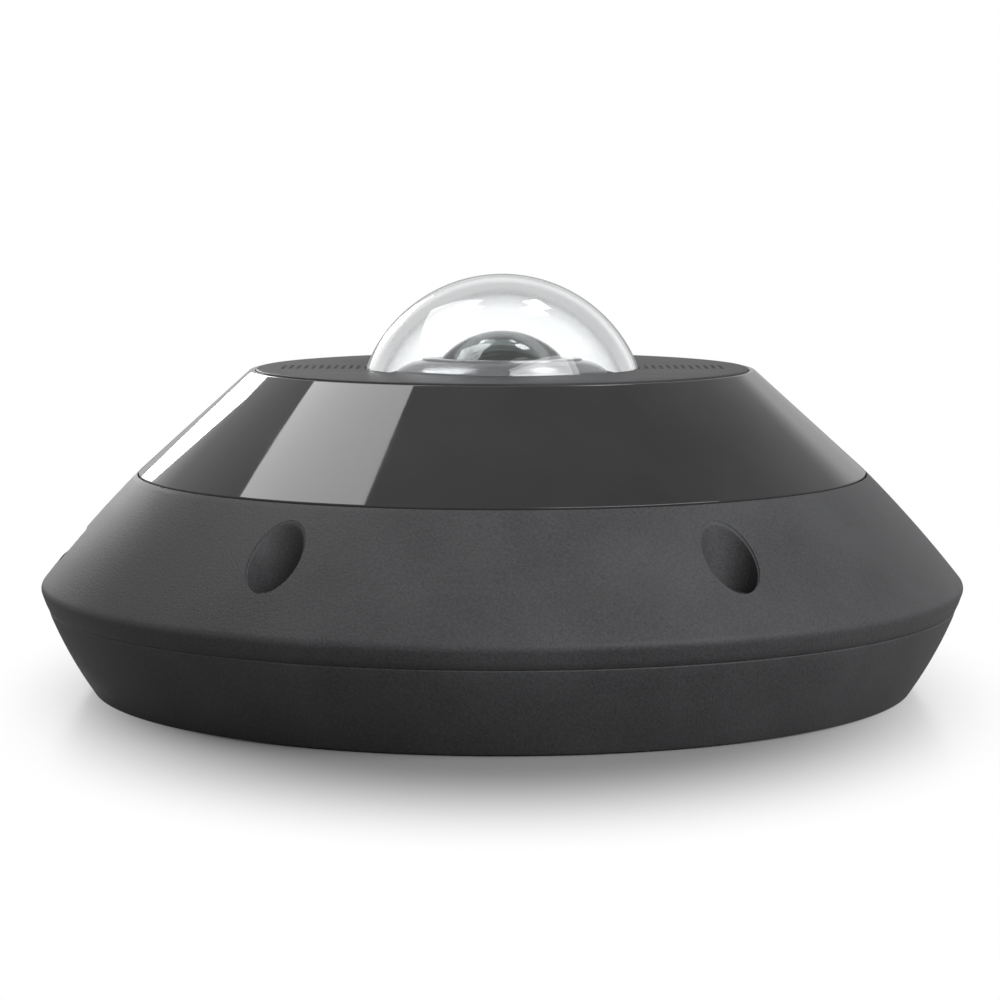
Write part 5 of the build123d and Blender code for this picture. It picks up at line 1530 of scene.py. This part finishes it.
# %% Give the card its contacts and its ridge
card_low = low("memory_card")
card_high = high("memory_card")
card_middle = (low("memory_card", 1) + high("memory_card", 1)) / 2
pad_row = low("memory_card", 0) + 2.1
pad_pitch = 1.1
contact_pads = []
for k in range(8):
    place = (pad_row, card_middle + (k - 3.5) * pad_pitch)
    contact_pads.append(brick((2.9, 0.75), place, card_low - 0.04, card_low + 0.02, 0.1, 0))
dress(make("card_contacts", together(*contact_pads)), inner_finish["gold contact"], "card", "plated_steel")
ridge_place = (high("memory_card", 0) - 0.9, card_middle)
ridge = brick((0.7, 8.4), ridge_place, card_high - 0.05, card_high + 0.25, 0.3, 0.1)
dress(make("card_ridge", ridge), inner_finish["card plastic"], "card", "card_plastic")

# %% [markdown]
# ## Lens barrel and loudspeaker
#
# The barrel screws into its mount, which is how the lens was focused, and a knurled ring locks it there.
# The thread is drawn as rings instead of a spiral, which nobody can tell apart at half a millimetre's
# pitch.

# %% Cut the thread and knurl the ring
thread_pitch = 0.5
thread_foot = high("lens_lock_ring") + 0.1
thread_turns = 7
thread_valley = 5.98
thread_crest = 6.28
thread_inside = 5.7
thread_head = thread_foot + thread_turns * thread_pitch
thread_outline = [(thread_inside, thread_foot)]
for k in range(thread_turns):
    thread_outline.append((thread_valley, thread_foot + k * thread_pitch))
    thread_outline.append((thread_crest, thread_foot + (k + 0.5) * thread_pitch))
thread_outline += [(thread_valley, thread_head), (thread_inside, thread_head)]
dress(make("barrel_thread", turned(thread_outline, 96), 20), black_anodised, "base", "barrel_metal")
lock_reach = high("lens_lock_ring", 0)
rib = rod(0.28, (0, 0), low("lens_lock_ring") + 0.15, high("lens_lock_ring") - 0.15, 10, 0.08)
knurl = copies(rib, around(lock_reach - 0.05, [6 * k for k in range(60)]))
dress(make("ring_knurl", knurl), black_anodised, "base", "barrel_metal")

# %% [markdown]
# The loudspeaker is closed by a rubber membrane with a stiff cap in its middle, which is what shows of it.

# %% Stretch the membrane
speaker_middle = (speaker_x, (low("speaker", 1) + high("speaker", 1)) / 2)
speaker_face = high("speaker")
membrane = together(
    walled(oblong(7.6, 11.6, 3.4, speaker_middle), speaker_face - 0.05, speaker_face + 0.2, 0.1),
    walled(oblong(4.6, 8.4, 2.2, speaker_middle), speaker_face + 0.15, speaker_face + 0.55, 0.25, 4),
)
dress(make("speaker_membrane", membrane), inner_finish["seal rubber"], "base", "seal_rubber")

# %% [markdown]
# ## Ribs of the frame
#
# A flat plastic deck would bend under the lens, so a moulded one carries thin ribs that run outward from
# it. They stop short of the lamps' board.

# %% Mould the frame's ribs
deck_face = low("led_board")
deck_rib = brick((24.0, 1.2), (28.0, 0), deck_face - 0.1, deck_face + 1.3, 0.3, 0.15)
rib_turns = [30, 60, 120, 150, 210, 240, 300, 330]
deck_ribs = copies(deck_rib, [(0, 0, turn) for turn in rib_turns])
dress(make("deck_ribs", deck_ribs), inner_finish["moulded frame"], "base", "frame_plastic")

# %% [markdown]
# ## Pieces that keep their own shape
#
# The rest of the engineering model already has the right shape at the right size. Those pieces only get
# their finish, chosen by the material that the record names for them.

# %% Finish what is carried over
finish_of_slot = {
    "casting_paint": powder_coat, "smoked_window": smoked, "faceplate_plastic": faceplate_finish,
    "clear_bubble": bubble_plastic, "clear_guide": guide_plastic, "lens_glass": lens_glass,
    "infrared_glass": filter_glass, "brushed_cone": brushed_cone, "barrel_metal": black_anodised,
    "screw_steel": screw_steel, "plated_steel": tinned_steel, "board": board_finish,
    "sensor_face": sensor_finish, "cable_film": film_finish, "mesh_cloth": mesh_finish,
    "black_plastic": inner_finish["matte black"], "frame_plastic": inner_finish["moulded frame"],
    "chip_plastic": inner_finish["chip epoxy"], "white_plastic": inner_finish["white plastic"],
    "seal_rubber": inner_finish["seal rubber"], "pad_rubber": inner_finish["thermal pad"],
    "terminal_plastic": inner_finish["terminal green"], "capacitor_sleeve": inner_finish["shrunk sleeve"],
    "lamp_resin": inner_finish["lamp base"], "card_plastic": inner_finish["card plastic"],
    "button_plastic": inner_finish["button plastic"],
}
for subpart in frame["record"]["subparts"]:
    finish_node(subpart["node"], finish_of_slot[subpart["material_slot"]])
print(len(finish_of_slot), "finishes in use")

# %% [markdown]
# ## The floor
#
# The camera stands on a white, slightly polished ground that shows a soft dark image of its flank and lets
# it fade towards the viewer. A curved sweep of paper would need a seam or a bend, so the floor is one flat
# square, many times as wide as the camera. It lies a hair under the foot, so that the two faces never
# fight.

# %% Lay the floor
floor_half = 6.0
floor_drop = 0.0002
floor_mesh = bpy.data.meshes.new("floor")
floor_mesh.from_pydata([(-floor_half, -floor_half, 0), (floor_half, -floor_half, 0),
                        (floor_half, floor_half, 0), (-floor_half, floor_half, 0)], [], [[0, 1, 2, 3]])
floor = bpy.data.objects.new("floor", floor_mesh)
floor.location.z = -floor_drop
bpy.context.scene.collection.objects.link(floor)
floor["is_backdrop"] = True
print("the floor is", 2 * floor_half, "m wide")

# %% [markdown]
# The floor's finish has three parts. A blurred mirror and a matte white share the ground close to the foot,
# so the dark flank shows in it softly. Further out, and sooner at the sides than in front, it glows plain
# white, because a camera that looks so low across a sheet of paper sees nothing but its light. For light
# that bounces on to the object it is a dark grey instead, and reflections see mostly that grey too: in the
# picture the underside stays far darker than the slope above it, so hardly any light comes up from the
# ground.

# %% Finish the floor
mirror_share = 0.55
white_from = 80.0
white_at = 142.0
floor_finish = bpy.data.materials.new("floor")
floor_finish.use_nodes = True
floor_tree = floor_finish.node_tree
floor_tree.nodes.remove(floor_tree.nodes["Principled BSDF"])
paper_tone = spread(floor_finish, blotches(floor_finish, 260, 2), 0.3, 0.7)
paper = add(floor_finish, "BsdfDiffuse", {"Color": blend(floor_finish, paper_tone, (0.90,) * 3, (0.93,) * 3)})
mirror = add(floor_finish, "BsdfGlossy", {"Color": (0.97, 0.97, 0.97, 1), "Roughness": 0.22})
near_foot = add(floor_finish, "MixShader", {0: mirror_share, 1: paper, 2: mirror})
glow = add(floor_finish, "Emission", {"Color": (1, 1, 1, 1), "Strength": 1.0})
reach = add(floor_finish, "VectorMath", {0: spot(floor_finish, (1.5, 1, 0))}, "Value", operation="LENGTH")
far_out = add(floor_finish, "MapRange", {"Value": reach, "From Min": white_from, "From Max": white_at},
              interpolation_type="SMOOTHSTEP")
seen_floor = add(floor_finish, "MixShader", {0: far_out, 1: near_foot, 2: glow})
dark_paper = add(floor_finish, "BsdfDiffuse", {"Color": (0.12, 0.12, 0.12, 1)})
matte_ray = add(floor_finish, "LightPath", {}, "Is Diffuse Ray")
gloss_ray = add(floor_finish, "LightPath", {}, "Is Glossy Ray")
darkened = maths(floor_finish, "MULTIPLY_ADD", gloss_ray, 0.7, matte_ray)
final_floor = add(floor_finish, "MixShader", {0: darkened, 1: seen_floor, 2: dark_paper})
floor_tree.links.new(final_floor, floor_tree.nodes["Material Output"].inputs["Surface"])
floor_mesh.materials.append(floor_finish)
print("the floor turns white between", white_from, "and", white_at, "mm in front of the axis")

# %% [markdown]
# ## The world
#
# The picture's background is pure white, yet the camera must not be flooded with light. So the world is one
# thing to the lens and another to everything else. Matte surfaces get a dim, even light. Glossy ones see a
# sweep of paper: white low down, dimmer higher up and to the right, and calmer straight ahead, where the
# faceplate looks. Clear ones see a white screen straight ahead and a greyer room beside and above it, and
# that draws the grey band along the bubble's edge. The lens itself sees plain white. Each stretch below
# says over which part of the room the light changes, and from which strength to which.

# %% Paint the world
room_light = 0.20
world = bpy.data.worlds.new("studio")
bpy.context.scene.world = world
world.use_nodes = True
toward = add(world, "TexCoord", {}, "Generated")
sideways = add(world, "SeparateXYZ", {0: toward}, "X")
upward = add(world, "SeparateXYZ", {0: toward}, "Z")
ahead = add(world, "VectorMath", {0: toward, 1: (0, 0.995, -0.10)}, "Value", operation="DOT_PRODUCT")
sweep = spread(world, upward, 0.28, 0.40, 1.0, 0.62)
right_hand = spread(world, sideways, -0.1, 0.5, 1.0, 0.76)
calm = spread(world, ahead, 0.86, 0.97, 1.0, 0.6)
in_gloss = maths(world, "MULTIPLY", maths(world, "MULTIPLY", sweep, right_hand), calm)
screen = spread(world, ahead, 0.83, 0.92, 0.66, 1.3)
ceiling = spread(world, upward, 0.62, 0.85, 1.0, 0.40)
through_glass = maths(world, "MULTIPLY", screen, ceiling)
strength = room_light
for kind, seen in (("Glossy", in_gloss), ("Transmission", through_glass), ("Camera", 1.0)):
    ray = add(world, "LightPath", {}, "Is " + kind + " Ray")
    strength = add(world, "Mix", {"Factor": ray, "A": strength, "B": seen})
background = world.node_tree.nodes["Background"]
background.inputs["Color"].default_value = (1, 1, 1, 1)
world.node_tree.links.new(strength, background.inputs["Strength"])
print("the room gives matte surfaces a light of", room_light)

# %% [markdown]
# ## The lamps
#
# Five softboxes hang round the object, where a photographer would hang them. The main one, up on the left,
# draws the broad grey band on the ring. The strip far back on the left draws the white band beside it and
# the bright grazing edge of the matte cone. The small one puts the highlight on the brushed cone. These
# three light no matte surface. A wide one at the front right lights the matte surfaces, and one behind does
# that for the back, so that the camera looks right from every side.

# %% Hang the lamps
lamp_distance = 1.5


def softbox(name, direction, size, radiance, **hidden):
    """A rectangular lamp that faces the seam's height, and that some kinds of surface may not see."""
    data = bpy.data.lights.new(name, "AREA")
    data.shape = "RECTANGLE"
    data.size, data.size_y = size
    data.energy = radiance * pi * size[0] * size[1]
    lamp = bpy.data.objects.new(name, data)
    aim = Vector(direction).normalized()
    lamp.location = aim * lamp_distance + Vector((0, 0, seam_height * MM))
    lamp.rotation_euler = aim.to_track_quat("Z", "Y").to_euler()
    lamp.visible_camera = False
    for switch, state in hidden.items():
        setattr(lamp, switch, state)
    bpy.context.scene.collection.objects.link(lamp)
    print(name, "power", round(data.energy, 2), "W")


softbox("main_softbox", (-0.468, 0.297, 0.832), (0.86, 0.70), 3.6, visible_diffuse=False)
softbox("back_strip", (-0.365, 0.885, 0.255), (0.36, 0.40), 11.0,
        visible_diffuse=False, visible_transmission=False)
softbox("cone_light", (0.272, 0.385, 0.882), (0.26, 0.26), 8.0, visible_diffuse=False)
softbox("front_fill", (0.60, -0.65, 0.50), (1.50, 1.10), 3.6)
softbox("back_fill", (0.05, 0.88, 0.42), (1.20, 0.80), 3.2, visible_glossy=False, visible_transmission=False)
bpy.context.scene.view_settings.view_transform = "Standard"

# %% [markdown]
# ## Last measurements
#
# The dressed camera has to stay as large as the engineering model. Both boxes are printed, one under the
# other.

# %% Print the sizes
dressed_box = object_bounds()
sizes = {"cad": [list(corner) for corner in cad_box], "visual": [list(corner) for corner in dressed_box]}
for name, corners in sizes.items():
    print(name, [[round(value / MM, 2) for value in corner] for corner in corners])
